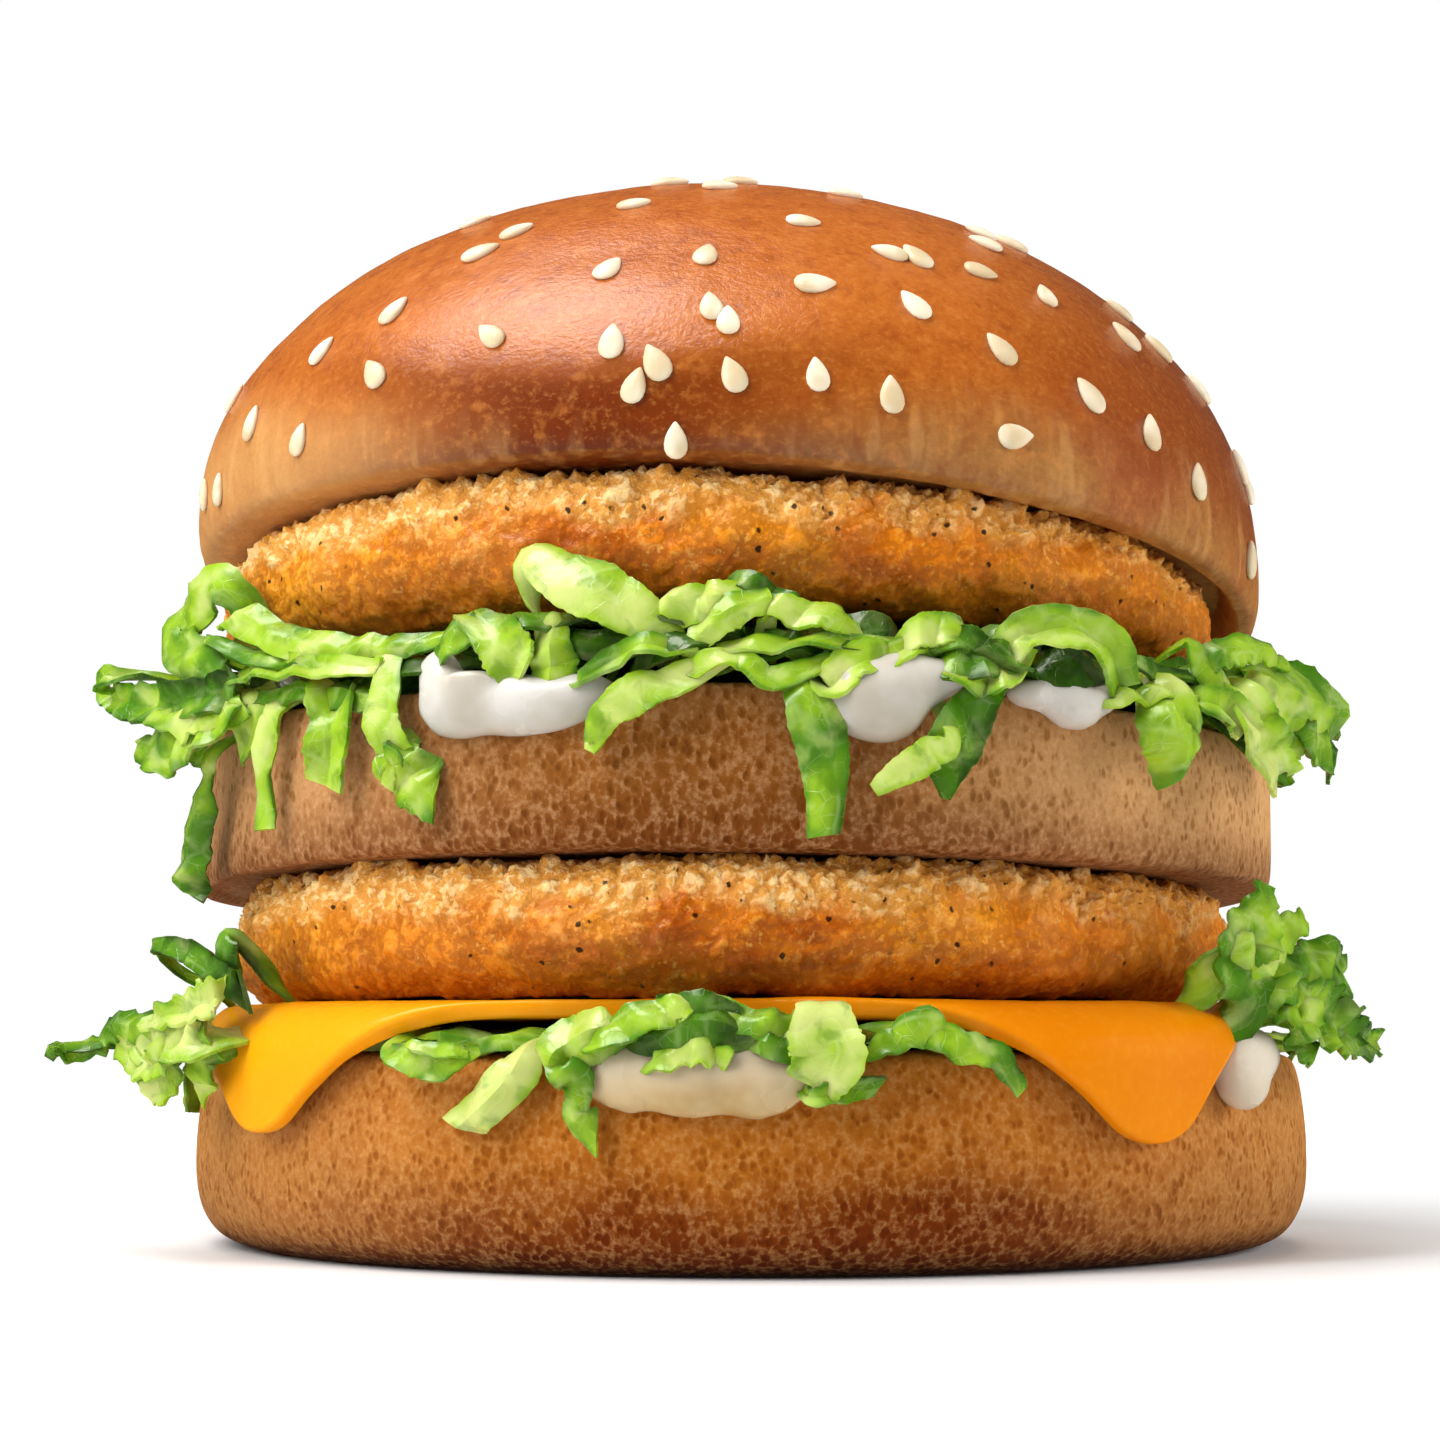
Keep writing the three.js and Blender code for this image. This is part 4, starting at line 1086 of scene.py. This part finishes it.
MIDDLE_RADIUS = 50.7
MIDDLE_SHIFT = -1.3
MIDDLE_SAG = 1.8
MIDDLE_BUN_TOP = level(44.6, -0.012, -0.03)


def set_middle_bun(x, y, z):
    rim = np.clip((np.hypot(x, y) - MIDDLE_RADIUS + 2) / 2, 0, 1) * (1 - z)
    sag = MIDDLE_SAG * rim * np.maximum(0, -np.sin(bearing(x, y))) ** 4
    x, y = wobble(x, y, 0.004, 2.3)
    x = x + MIDDLE_SHIFT
    low = MIDDLE_BUN_BASE(x, y)
    return x, y, low + z * (MIDDLE_BUN_TOP(x, y) - low) - sag


middle_bun = raise_rings("middle_bun_bread", BOTTOM_SIDES, [
    (MIDDLE_RADIUS - 2, 0), (MIDDLE_RADIUS - 0.7, 0.01), (MIDDLE_RADIUS - 0.2, 0.07),
    (MIDDLE_RADIUS, 0.3), (MIDDLE_RADIUS, 0.65), (MIDDLE_RADIUS - 0.1, 0.88),
    (MIDDLE_RADIUS - 0.3, 0.98), (MIDDLE_RADIUS - 0.8, 1), (MIDDLE_RADIUS - 2, 1), (46, 1),
], FINE, below=(44, *INNER_RINGS), above=(44, *INNER_RINGS))
note(middle_bun, share=points_of(middle_bun)[2])
reshape(middle_bun, set_middle_bun)


def middle_bun_relief(place):
    """Soft dents and a few upright pits"""
    pits = between(cells(stretched(place, (1, 1, 0.6)), 2.8), 0.25, 0.1)
    return plus(rolling(place, 14, 0.8, 1), times(pits, -0.15))


emboss(middle_bun, middle_bun_relief, 0.5)


def paint_middle_bun(place):
    share = read(place, "share")
    patches = mottle(place, 12, 3)
    colour = tint(between(patches, 0.3, 0.7), "7A4512", "8D5520")
    # painted light and shade: the left and right sides are lighter, the middle stays darker as shade under
    # the hanging lettuce
    painted_side_light = axis(place, "X")
    colour = wash(colour, "C08D5C", painted_side_light, -12 * MM, -44 * MM, 0.85)
    colour = wash(colour, "CE9C66", painted_side_light, 2 * MM, 34 * MM, 0.9)
    colour = wash(colour, "6A3510", share, 0.5, 0.0, 0.75)
    colour = wash(colour, "BA8248", share, 0.7, 1.0, 0.4)
    return bread_skin(place, colour, 0.65, "D8CCB8", "D9AC7C", 0.42)


bread_middle = finish("bread_middle", paint_middle_bun, **BREAD_GLOW)
dress(middle_bun, bread_middle, "bread", "middle_bun")

# ------------------------------
# Upper mayonnaise: the same sauce on the middle bun, whiter, with painted light along its top, and with
# drops that hang over the bun's edge between the shreds of lettuce.
# ------------------------------

UPPER_TONGUES = [(-24, 8), (12, 7), (29, 7)]
UPPER_DROPS = [
    (-29.6, 51.2, 47.2, 1.8, 2, 2.6), (-26.5, 51.8, 44.7, 2.6, 4.4, 2.8), (-20.5, 51.8, 44.3, 2.4, 6.4, 2.5),
    (-15.4, 51.4, 45.3, 2, 3.4, 1.7), (10.4, 52.2, 44.4, 2.9, 4.3, 3.5), (13, 51.8, 46, 2.4, 4, 2.6),
    (16.4, 51.6, 46.6, 2, 3.6, 1.6), (25.6, 51.6, 45.6, 2, 3, 1.4), (29.4, 51.9, 44.7, 2.2, 2.8, 2.1),
    (32.4, 51.5, 45.5, 1.8, 2.2, 1.5),
]
upper_mayo = sauce("upper_mayo_sauce", MIDDLE_BUN_TOP, UPPER_TONGUES, UPPER_DROPS, MIDDLE_SHIFT)
emboss(upper_mayo, sauce_flow, 0.5)
white_sauce = finish("white_sauce", paint_sauce("B6AD9E", "CDC9C2", "BDB5A6", 47.5), **SAUCE_GLOW)
dress(upper_mayo, white_sauce, "mayonnaise", "upper_mayo")

# ------------------------------
# Upper lettuce: a fuller heap on the middle bun. The strips lie leaf on leaf below the patty,
# stand up against its side, and hang down over the bun, with frilly leaf ends at both sides.
# ------------------------------

UPPER_PATTY_BASE = level(51.0, -0.006, -0.03)
UPPER_SHREDS = [
    shred(0.45, (3, 4.4, 4, 3.4, 2.4), (0, 20, 0), (-57.1, 54, 57.2), (-64, 55, 55.9), (-64.7, 56, 53.3),
          (-56.9, 56, 50), (-52.6, 55, 47.4), ruffle=0.5, teeth=0.3),
    shred(0.3, (3.4, 3.2, 2.8, 1.4), (40, 25, 20, 30), (-56, 54, 54.8), (-46.3, 53.5, 51.4),
          (-36.6, 52.5, 50), (-28.5, 51, 50.5)),
    shred(0.6, (1, 1.8, 1.6, 1), (30, 60), (-59.8, 55, 52.9), (-51.2, 54.5, 50.6), (-43.2, 53.5, 49.5),
          (-36.5, 52, 49.4)),
    shred(0.2, (1.6, 2.6, 2.4, 1.4), (50, 20), (-54.8, 54, 48), (-49.9, 54, 49.1), (-41.2, 54, 48.5),
          (-34.6, 53, 48.1)),
    shred(0.75, (2, 3, 3, 2), (60, 30), (-56.1, 53.5, 47.3), (-46.9, 53, 47.8), (-39.7, 53, 46.7),
          (-34.2, 53, 45.5)),
    shred(0.7, (1.6, 2.4, 3.4, 3.2, 3), (30, 10, 0), (-70.8, 60.1, 50.9), (-72.5, 60.4, 49.3),
          (-66.2, 58, 47.7), (-57.6, 57, 47.3), (-52.8, 55, 47.7), ruffle=0.4, teeth=0.3),
    shred(0.35, (2.6, 4, 4.6, 3.8, 1), (60, 20, 0), (-52.8, 54.5, 46.9), (-54.5, 56, 44.8),
          (-58.6, 57, 43.7), (-62.9, 58, 43.4), (-69.8, 58.5, 44.5), ruffle=0.5, teeth=0.4),
    shred(0.15, (2, 3.6, 3.4, 2.6), (60, 30), (-62.6, 58, 46.7), (-57.5, 57, 45.9), (-54.5, 56, 46),
          (-51.8, 55, 46.8), ruffle=0.5, teeth=0.3),
    shred(0.6, (1.2, 2.4, 3, 3.8, 4), (0, 0), (-58.7, 54.5, 42.8), (-59.9, 54.8, 39.4), (-61.9, 55, 36.5),
          (-63.1, 55.2, 33.8), (-63.5, 55.4, 31.2), crease=1.2),
    shred(0.05, (4.2, 4.6, 4, 2.2), (70, 10, 0), (-53.8, 52, 48.6), (-51.6, 54.2, 46.7), (-52.8, 54.2, 44.6),
          (-54.5, 53.8, 42.7)),
    shred(0.1, (2.4, 2.2, 1.9, 1.8), (60, 0, 0), (-48, 52.5, 46.6), (-48.4, 54.2, 44.7), (-49.2, 54, 40.3),
          (-49, 53.8, 35.7), ruffle=0.05),
    shred(0.25, (3.8, 4.2, 4, 3.6), (60, 0, 0), (-41.6, 51.5, 47), (-39.7, 53.6, 44.6), (-39.8, 53.8, 41.7),
          (-40.3, 53.6, 38.8), ruffle=0.1),
    shred(0.05, (1.4, 2.8, 3.2, 2.8), (50, 10, -10), (-34.3, 51.5, 49.8), (-33.6, 53.6, 46.2),
          (-33.4, 54.2, 43.5), (-32, 54, 41)),
    shred(0.4, (2.6, 4.4, 4.8, 3.6), (-30, 0, 20), (-32.5, 54.4, 40.5), (-31.6, 54.2, 39.7),
          (-30, 53.8, 38.7), (-28.4, 53.4, 37.4), fold=0.5),
    shred(0.55, (1.6, 2.6, 2.4), (20, 20), (-29.5, 52, 48.5), (-27.2, 52.8, 49.9), (-24.9, 52.6, 51.2)),
    shred(0.35, (2, 3.8, 4.6, 3.6), (60, 10, -10), (-26.8, 51, 51.9), (-23.1, 53, 50.2), (-21.4, 53.4, 48.5),
          (-20.2, 53, 46.6), crease=0.9),
    shred(0.3, (0.8, 3, 4.2, 3.4), (30, 10), (-17.6, 51.5, 51.6), (-17.7, 52.8, 49.5), (-17.6, 53.2, 47.7),
          (-17.8, 52.8, 46), fold=0.6),
    shred(-0.1, (2.4, 4.8, 5.2, 4.4, 1.6), (35, 25, 20), (-20.5, 51.5, 56), (-17, 52.6, 54.5),
          (-13.6, 53, 53), (-10.2, 52.6, 51.3), (-6.3, 51.5, 49.4), curl=0.1, crease=0.3),
    shred(0.9, (2, 2.6, 2), (10, 0), (-17.6, 51, 49.6), (-13.8, 51.2, 49.1), (-9.4, 51, 49.4)),
    shred(0, (2, 3.4, 3.8, 2.4), (30, 10), (-8.5, 51.6, 51.9), (-5.6, 52.6, 52.2), (-3.2, 52.6, 52.5),
          (-1, 51.4, 53), fold=0.5),
    shred(0.35, (1.2, 2.6, 3, 2.2), (10, 20), (-5.6, 52.4, 48.1), (-4.2, 53.2, 49.9), (-1.8, 53.2, 51.6),
          (1.2, 52, 52.3), fold=0.5),
    shred(0.85, (1.6, 2, 1.4), (20, 30), (-1.8, 50.5, 53.8), (0.8, 51, 53.1), (3.8, 50.5, 52)),
    shred(0.1, (1.6, 2.8, 2.8, 1.2), (30, 30), (1.1, 51.5, 51.4), (3.8, 52.2, 51.3), (6.6, 52, 50.9),
          (9.4, 51, 50)),
    shred(0.5, (1, 1.8, 1.8, 1.2), (60, 40), (-5.7, 52, 47.9), (-0.9, 52.8, 48.7), (5.4, 52.6, 49),
          (13.1, 51.6, 49.1)),
    shred(0.8, (1.6, 2.2, 2), (0, 0), (1.3, 50.8, 49.3), (6.5, 51, 48.1), (12.1, 50.6, 48.7)),
    shred(0.15, (0.8, 2.6, 3.4, 2.8, 1.4), (-10, 0, 20, 40), (-13.9, 53.4, 40.8), (-12.5, 53.8, 43.1),
          (-10.1, 53.8, 44.7), (-7, 53.4, 45.8), (-1.8, 52, 47.8)),
    shred(0.5, (1.4, 2, 2.2, 1.4), (30, 40), (-15.6, 52.4, 45.9), (-12.1, 53.2, 47.4), (-8.9, 53.4, 48.4),
          (-4.6, 52.4, 48.3)),
    shred(0.45, (1.4, 2, 2.2, 1.6), (20, 40, 20), (-5.5, 53, 46.8), (-1.5, 53.6, 47.6), (1.3, 53.6, 45.9),
          (6.8, 52.4, 47.8), crease=1),
    shred(0.55, (3.2, 4, 4.2, 3.4, 2.4), (70, 0, 0), (3.8, 51.5, 46.4), (4.6, 53.8, 43.8), (5.3, 54, 40.7),
          (5.7, 53.9, 37.6), (5.5, 53.6, 33.7), ruffle=0.1, crease=0.3),
    shred(0.2, (2.6, 3.4, 3.2, 1.6), (40, 30), (6.1, 52.6, 45.1), (7.9, 53, 46.7), (10.9, 52.8, 47.7),
          (14, 51.6, 48.6)),
    shred(0.15, (1.2, 2.6, 3, 2.6), (20, 20), (11.9, 52, 48.3), (13.8, 53, 49.8), (16.2, 53, 50.4),
          (18.7, 52.2, 50.1)),
    shred(0.9, (1.6, 2.8, 2.4, 1.2), (40, 0), (16.1, 52.2, 49.2), (18, 53, 49.3), (19.1, 53.2, 48.4),
          (17.7, 53, 47.1)),
    shred(0.15, (1.2, 2, 2.2, 1.8), (30, 30), (15.9, 53, 47), (18.7, 54, 45.9), (21.2, 54.2, 46.5),
          (24.1, 52.6, 49.1)),
    shred(0.7, (2, 3.6, 4.6, 3.4, 0.8), (60, 0, 0), (21.1, 52.5, 46.7), (18.3, 54, 44), (16.8, 54, 41.3),
          (16, 53.8, 39), (16, 53.4, 36.8)),
    shred(0.1, (1.2, 2.8, 2.6, 1), (0, 10), (16.2, 54.2, 41.4), (14.2, 54.6, 40.1), (12.1, 54.4, 38.8),
          (9.7, 53.8, 37.3)),
    shred(0.1, (2, 3.6, 3.8, 3.6, 2.8), (50, 15, 0), (21.8, 52, 47.8), (23.2, 53.4, 49.9),
          (27.3, 53.8, 50.6), (31.7, 53.8, 49.4), (33.9, 53, 46.4)),
    shred(0.95, (2, 3, 2.4), (0, 0), (26.6, 51, 47.8), (30.3, 51.2, 47.7), (34.6, 51, 47.4)),
    shred(0.05, (1, 1.6, 1.8, 1.4), (50, 40), (31.5, 52.6, 45), (34, 53.6, 45.9), (38.1, 54, 46.3),
          (45.1, 53.4, 46.1)),
    shred(0.9, (1.2, 1.8, 1.4), (30, 30), (36.9, 51, 48.9), (41.3, 52, 48.3), (48.4, 52.6, 47.5)),
    shred(0.25, (4.6, 5.6, 5.2, 3), (60, 20, -20), (40.6, 52.5, 46.5), (37.9, 54.4, 44.1),
          (38.4, 54.8, 41.7), (39.2, 54, 39.7), curl=0.25, crease=0.9),
    shred(0.3, (1, 2.4, 2.2), (20, 10), (43.7, 52, 51.3), (44.3, 53.4, 48.9), (46.3, 54.6, 46.8)),
    shred(0.55, (1.6, 2.6, 2.2, 1.2), (30, 20), (44.3, 53, 49.3), (46.8, 54.2, 50.7), (50.9, 55, 51.3),
          (56.6, 55, 50.6), teeth=0.4),
    shred(0.15, (2.6, 3.4, 3), (20, 0), (42.7, 54, 46), (45, 55, 45.1), (47.1, 55.4, 43.6)),
    shred(0.1, (2.6, 4.6, 5, 4.2), (40, 0, 0), (47.6, 54.4, 47.3), (47.7, 55.8, 44.5), (49.9, 55.8, 42.2),
          (53.7, 55, 40.2)),
    shred(0.4, (3.6, 7.4, 8, 7), (40, 10, 0), (50.1, 54, 48.4), (54.3, 55.5, 47.7), (59.2, 56.5, 47.1),
          (66, 57, 46.8), teeth=0.5, ruffle=0.4, fold=0.5),
    shred(0.75, (1.4, 3, 2.4), (0, 0), (56.8, 55.5, 44.9), (60.4, 56.2, 43.8),
          (65.8, 56.4, 42.5), teeth=0.4),
    shred(0.9, (1, 1.4, 0.8), (0, 0), (52.6, 54.6, 41), (55.5, 54.8, 40.5), (56.9, 55, 41.3)),
]
UPPER_ROOT = 48.2
upper_strips = [
    *[dict(strip, root=UPPER_ROOT, turn=0.8) for strip in UPPER_SHREDS],
    *drawn_strips(19, 84, 274, UPPER_ROOT, 40),
    *filler_strips(72, MIDDLE_BUN_TOP, UPPER_PATTY_BASE, 500),
]
# the core's tone of 2 paints it near black, as shade between the strips
upper_lettuce = heap(
    "upper_lettuce_leaves", raised(MIDDLE_BUN_TOP, SPREAD_THICK), raised(UPPER_PATTY_BASE, -GAP),
    upper_strips, 1.9, 2,
)
dress(upper_lettuce, leaf_finish, "lettuce", "upper_lettuce")
bpy.ops.object.shade_smooth_by_angle(angle=math.radians(45))

# ------------------------------
# Upper patty: the same fried round, pressed between the lettuce and the crown. It stands a
# little further forward and shows more of its loose crumb under the crown's rim.
# ------------------------------

UPPER_PATTY_SHIFT = (-2.6, -2.9)
CROWN_BASE = level(61.1, -0.03, -0.062)
upper_patty = fried_round(
    "upper_patty_crust", UPPER_PATTY_BASE, raised(CROWN_BASE, -GAP), UPPER_PATTY_SHIFT, 2.9
)
emboss(upper_patty, crust, 0.7)
dress(upper_patty, fried_crust, "breading", "upper_patty")

# ------------------------------
# Crown: the domed top of the bun, brushed with egg and baked to a glossy brown that fades to
# a pale wrinkled rim. It leans to the left, and its rim hangs over the patty on the right.
# ------------------------------

CROWN_RADIUS = 50.7
CROWN_FOOT = 46.6
CROWN_SHIFT = -1.9
CROWN_BROW = 4.3
CROWN_DOME = 33.8
CROWN_LEAN = -0.04
CROWN_SIDES = 64


def dome_point(rise):
    angle = math.radians(rise)
    return CROWN_RADIUS * math.cos(angle), CROWN_BROW + CROWN_DOME * math.sin(angle)


def set_crown(x, y, z):
    """Sets the upright crown on the patty: its foot follows the patty, its rim hangs over"""
    outer = np.clip((np.hypot(x, y) - CROWN_FOOT - 0.2) / 1.6, 0, 1)
    angle = bearing(x, y)
    droop_here = np.maximum(0, 2.1 + 1.3 * np.sin(angle) - 2 * np.cos(angle))
    drop = outer * np.clip(1 - z / 7, 0, 1) * droop_here
    x, y = wobble(x, y, 0.004, 4.1)
    x = x + CROWN_SHIFT + CROWN_LEAN * z
    middle = CROWN_BASE(CROWN_SHIFT, 0)
    follow = np.clip(1 - z / 22, 0, 1)
    return x, y, z + middle + (CROWN_BASE(x, y) - middle) * follow - drop


crown = raise_rings("crown_bread", CROWN_SIDES, [
    (CROWN_FOOT, 0), (CROWN_FOOT + 1.6, 0.02), (CROWN_RADIUS - 1.1, 0.1),
    (CROWN_RADIUS - 0.4, 0.6), (CROWN_RADIUS - 0.1, 2.2),
    *[dome_point(rise) for rise in range(0, 87, 8)], dome_point(89.3),
], FINE, below=(40, 20))
# baked says how far above the pale rim a point is, and is raised along the belt at the front; the belt is
# the band above the rim at the front, painted dark as shade
x, y, rise = points_of(crown)
angle = bearing(x, y)
pale_rim = 3 + 6 * np.maximum(0, -np.sin(angle)) ** 2
pale_rim = pale_rim + 2 * np.exp(-(((np.degrees(angle) - 30) / 20) ** 2))
belt = np.exp(-(((np.degrees(angle) + 14) / 26) ** 2))
note(crown, baked=rise - pale_rim + 5 * belt, belt=belt)
reshape(crown, set_crown)


def wrinkles(place):
    """Fine upright wrinkles in the soft rim"""
    return mottle(stretched(place, (1, 1, 0.16)), 1.6, 3)


def crown_relief(place):
    """Slow hollows over the dome, and wrinkles towards the rim"""
    rim = between(read(place, "baked"), 6, -1)
    hollows = rolling(place, 22, 1.6)
    folds = times(times(plus(wrinkles(place), -0.5), rim), 0.4)
    pebbles = rolling(place, 2.4, 0.25, 2)
    return plus(plus(hollows, folds), pebbles)


emboss(crown, crown_relief, 0.6)


def paint_crown(place):
    patches = mottle(place, 15, 4)
    baked = plus(read(place, "baked"), times(plus(patches, -0.5), 7))
    colour = tint(between(baked, -3, 6), "AC7230", "C2691E")
    colour = wash(colour, "A2480C", patches, 0.5, 0.7, 0.5)
    colour = wash(colour, "BA5E12", read(place, "baked"), 12, 30, 0.8)
    # painted shade: a dark band above the rim at the front
    belt = times(read(place, "belt"), between(read(place, "baked"), 14, 7))
    colour = tint(times(belt, 0.92), colour, "5E1A01")
    clouds = mottle(place, 1.9, 3, 0.6)
    colour = wash(colour, "DC8838", clouds, 0.52, 0.7, 0.3)
    colour = wash(colour, "883408", clouds, 0.48, 0.32, 0.35)
    # painted shade: the right side above the rim, away from the lamps, is darker
    right = times(between(axis(place, "X"), 10 * MM, 40 * MM), between(baked, -4, 3))
    colour = tint(times(right, 0.8), colour, "843806")
    skin = mottle(stretched(place, (1, 1, 1.3)), 0.6, 4, 0.65)
    colour = wash(colour, "E29A48", skin, 0.5, 0.72, 0.22)
    colour = wash(colour, "7A2C06", skin, 0.5, 0.3, 0.25)
    rim = between(baked, 6, -1)
    # painted light: the rim on the left, towards the lamps, is paler
    left = times(between(axis(place, "X"), -18 * MM, -42 * MM), between(baked, 9, 0))
    colour = tint(times(left, 0.5), colour, "DC9E5A")
    folds = wrinkles(place)
    colour = tint(times(rim, between(folds, 0.5, 0.7, 0, 0.25)), colour, "DDAA66")
    calm = times(skin, between(belt, 0.0, 0.7, 0.12, 0.04))
    bump = plus(calm, times(times(folds, rim), 0.12))
    bump = plus(bump, times(grain(place), 0.02))
    gloss = plus(between(baked, -2, 5, 0.5, 0.25), times(belt, -0.08))
    return colour, gloss, bump


crown_skin = finish(
    "crown_skin", paint_crown, Subsurface_Weight=0.1, Subsurface_Scale=0.003,
    Subsurface_Radius=(1, 0.45, 0.1), Specular_IOR_Level=0.7, Specular_Tint=(1, 1, 1, 1),
)
dress(crown, crown_skin, "crust", "top_bun")

# ------------------------------
# Sesame seeds: hulled seeds, flat ivory drops about 3 mm long, scattered on the egg wash and
# baked on. Those at the front lie where they are seen, the others follow a spiral.
# ------------------------------

SEED_LENGTH = 3.3
SEED_WIDTH = 1.95
SEED_HEIGHT = 0.95
SEED_SUNK = 0.3
# seeds seen in the photograph, as (column, row, tilt): the pointed end's tilt from straight up
SEEDS_SEEN = [
    (395, 312, 15), (323, 352, 35), (375, 374, -40), (253, 424, 20), (300, 440, 25), (236, 385, 30),
    (206, 495, 15), (220, 490, 20), (481, 254, 60), (517, 233, 55), (491, 336, -45), (476, 220, 70),
    (634, 206, 70), (609, 270, 15), (612, 342, 0), (656, 363, -25), (635, 386, 15), (676, 440, 0),
    (706, 256, 5), (711, 307, -5), (728, 321, 0), (733, 375, -20), (817, 375, -5), (891, 395, 0),
    (815, 285, 75), (803, 223, 85), (720, 188, 85), (740, 182, 88), (670, 181, 80), (845, 190, 85),
    (889, 254, -80), (916, 258, -15), (914, 306, -25), (1000, 350, -35), (1015, 437, 80), (1045, 297, 10),
    (980, 273, 85), (985, 245, -70), (980, 235, -80), (1010, 238, -75), (1089, 396, -40), (1118, 312, -80),
    (1125, 338, -30), (1157, 350, -35), (1197, 378, -30), (1150, 433, 15), (1197, 482, 20), (1238, 440, -15),
    (1245, 480, -5), (1249, 560, 0),
]
SEEDS_BEHIND = 62


def pixel_ray(column, row):
    """Direction from the camera through a pixel of the photograph"""
    half = FRAME_PIXELS / 2
    focal = LENS / SENSOR * FRAME_PIXELS
    ray = Vector(((column - half) / focal, (half - row) / focal, -1))
    return (eye.rotation_euler.to_matrix() @ ray).normalized()


def seed_shape():
    """One seed lying flat: a ball drawn to a point along +X"""
    bpy.ops.mesh.primitive_uv_sphere_add(segments=14, ring_count=9, radius=0.5)
    seed = bpy.context.object

    def draw_out(x, y, z):
        x, y, z = x * MM, y * MM, z * MM
        taper = 1.02 - 0.75 * x - 1.3 * np.maximum(x - 0.05, 0) ** 2
        return x * SEED_LENGTH, y * SEED_WIDTH * taper, z * SEED_HEIGHT * (0.9 + 0.4 * taper) / 1.3

    bpy.ops.object.mode_set(mode="EDIT")
    bpy.ops.mesh.select_all(action="SELECT")
    bpy.ops.transform.rotate(value=math.radians(90), orient_axis="Y", center_override=(0, 0, 0))
    bpy.ops.object.mode_set(mode="OBJECT")
    reshape(seed, draw_out)
    return seed


def lay_seed(index, spot, normal, heading):
    """Copies the seed to a spot on the crown, its point along heading"""
    normal = normal.normalized()
    heading = (heading - normal * heading.dot(normal)).normalized()
    side = normal.cross(heading)
    size = 0.9 + 0.2 * draw(index, 5)
    turn = Matrix((heading * size, side * size, normal * size)).transposed().to_4x4()
    copy = seed_model.copy()
    copy.data = seed_model.data.copy()
    bpy.context.collection.objects.link(copy)
    lift = normal * SEED_HEIGHT * (0.5 - SEED_SUNK) * MM
    copy.data.transform(Matrix.Translation(spot + lift) @ turn)
    return copy


seed_model = seed_shape()
laid = []
up_in_view = eye.rotation_euler.to_matrix() @ Vector((0, 1, 0))
right_in_view = Vector((1, 0, 0))
for column, row, tilt in SEEDS_SEEN:
    hit = False
    while not hit and row < FRAME_PIXELS / 2:
        hit, spot, normal, _ = crown.ray_cast(EYE, pixel_ray(column, row))
        row += 2
    if hit:
        angle = math.radians(tilt)
        heading = up_in_view * math.cos(angle) + right_in_view * math.sin(angle)
        laid.append(lay_seed(len(laid), spot, normal, heading))
for i in range(SEEDS_BEHIND):
    share = (i + 0.5) / SEEDS_BEHIND
    rise = 90 - math.degrees(math.acos(1 - 0.83 * share)) + 6 * (draw(i, 1) - 0.5)
    turn = i * 137.508 + 22 * (draw(i, 2) - 0.5)
    reach, height = dome_point(min(max(rise, 6), 88))
    far = polar(turn, reach, height + CROWN_BASE(CROWN_SHIFT, 0)) * MM
    heart = Vector((CROWN_SHIFT, 0, 70)) * MM
    hit, spot, normal, _ = crown.ray_cast(heart + (far - heart) * 2, heart - far)
    if hit and not (normal.y < -0.05 and normal.z < 0.9 or spot.y < 0 and normal.z < 0.97):
        spin = Euler((0, 0, 2 * math.pi * draw(i, 3))).to_matrix() @ Vector((1, 0, 0.2))
        laid.append(lay_seed(100 + i, spot, normal, spin))
bpy.data.objects.remove(seed_model)
seeds = join(laid, "sesame_seeds")


def paint_seed(place):
    tone = mottle(place, 4, 2)
    colour = tint(between(tone, 0.35, 0.65), "D9C39A", "F2E6CB")
    fine = mottle(place, 0.5, 2)
    return colour, between(tone, 0.3, 0.7, 0.32, 0.45), times(fine, 0.05)


seed_hull = finish("seed_hull", paint_seed, Subsurface_Weight=0.2, Subsurface_Scale=0.001)
dress(seeds, seed_hull, "crust", "top_bun")
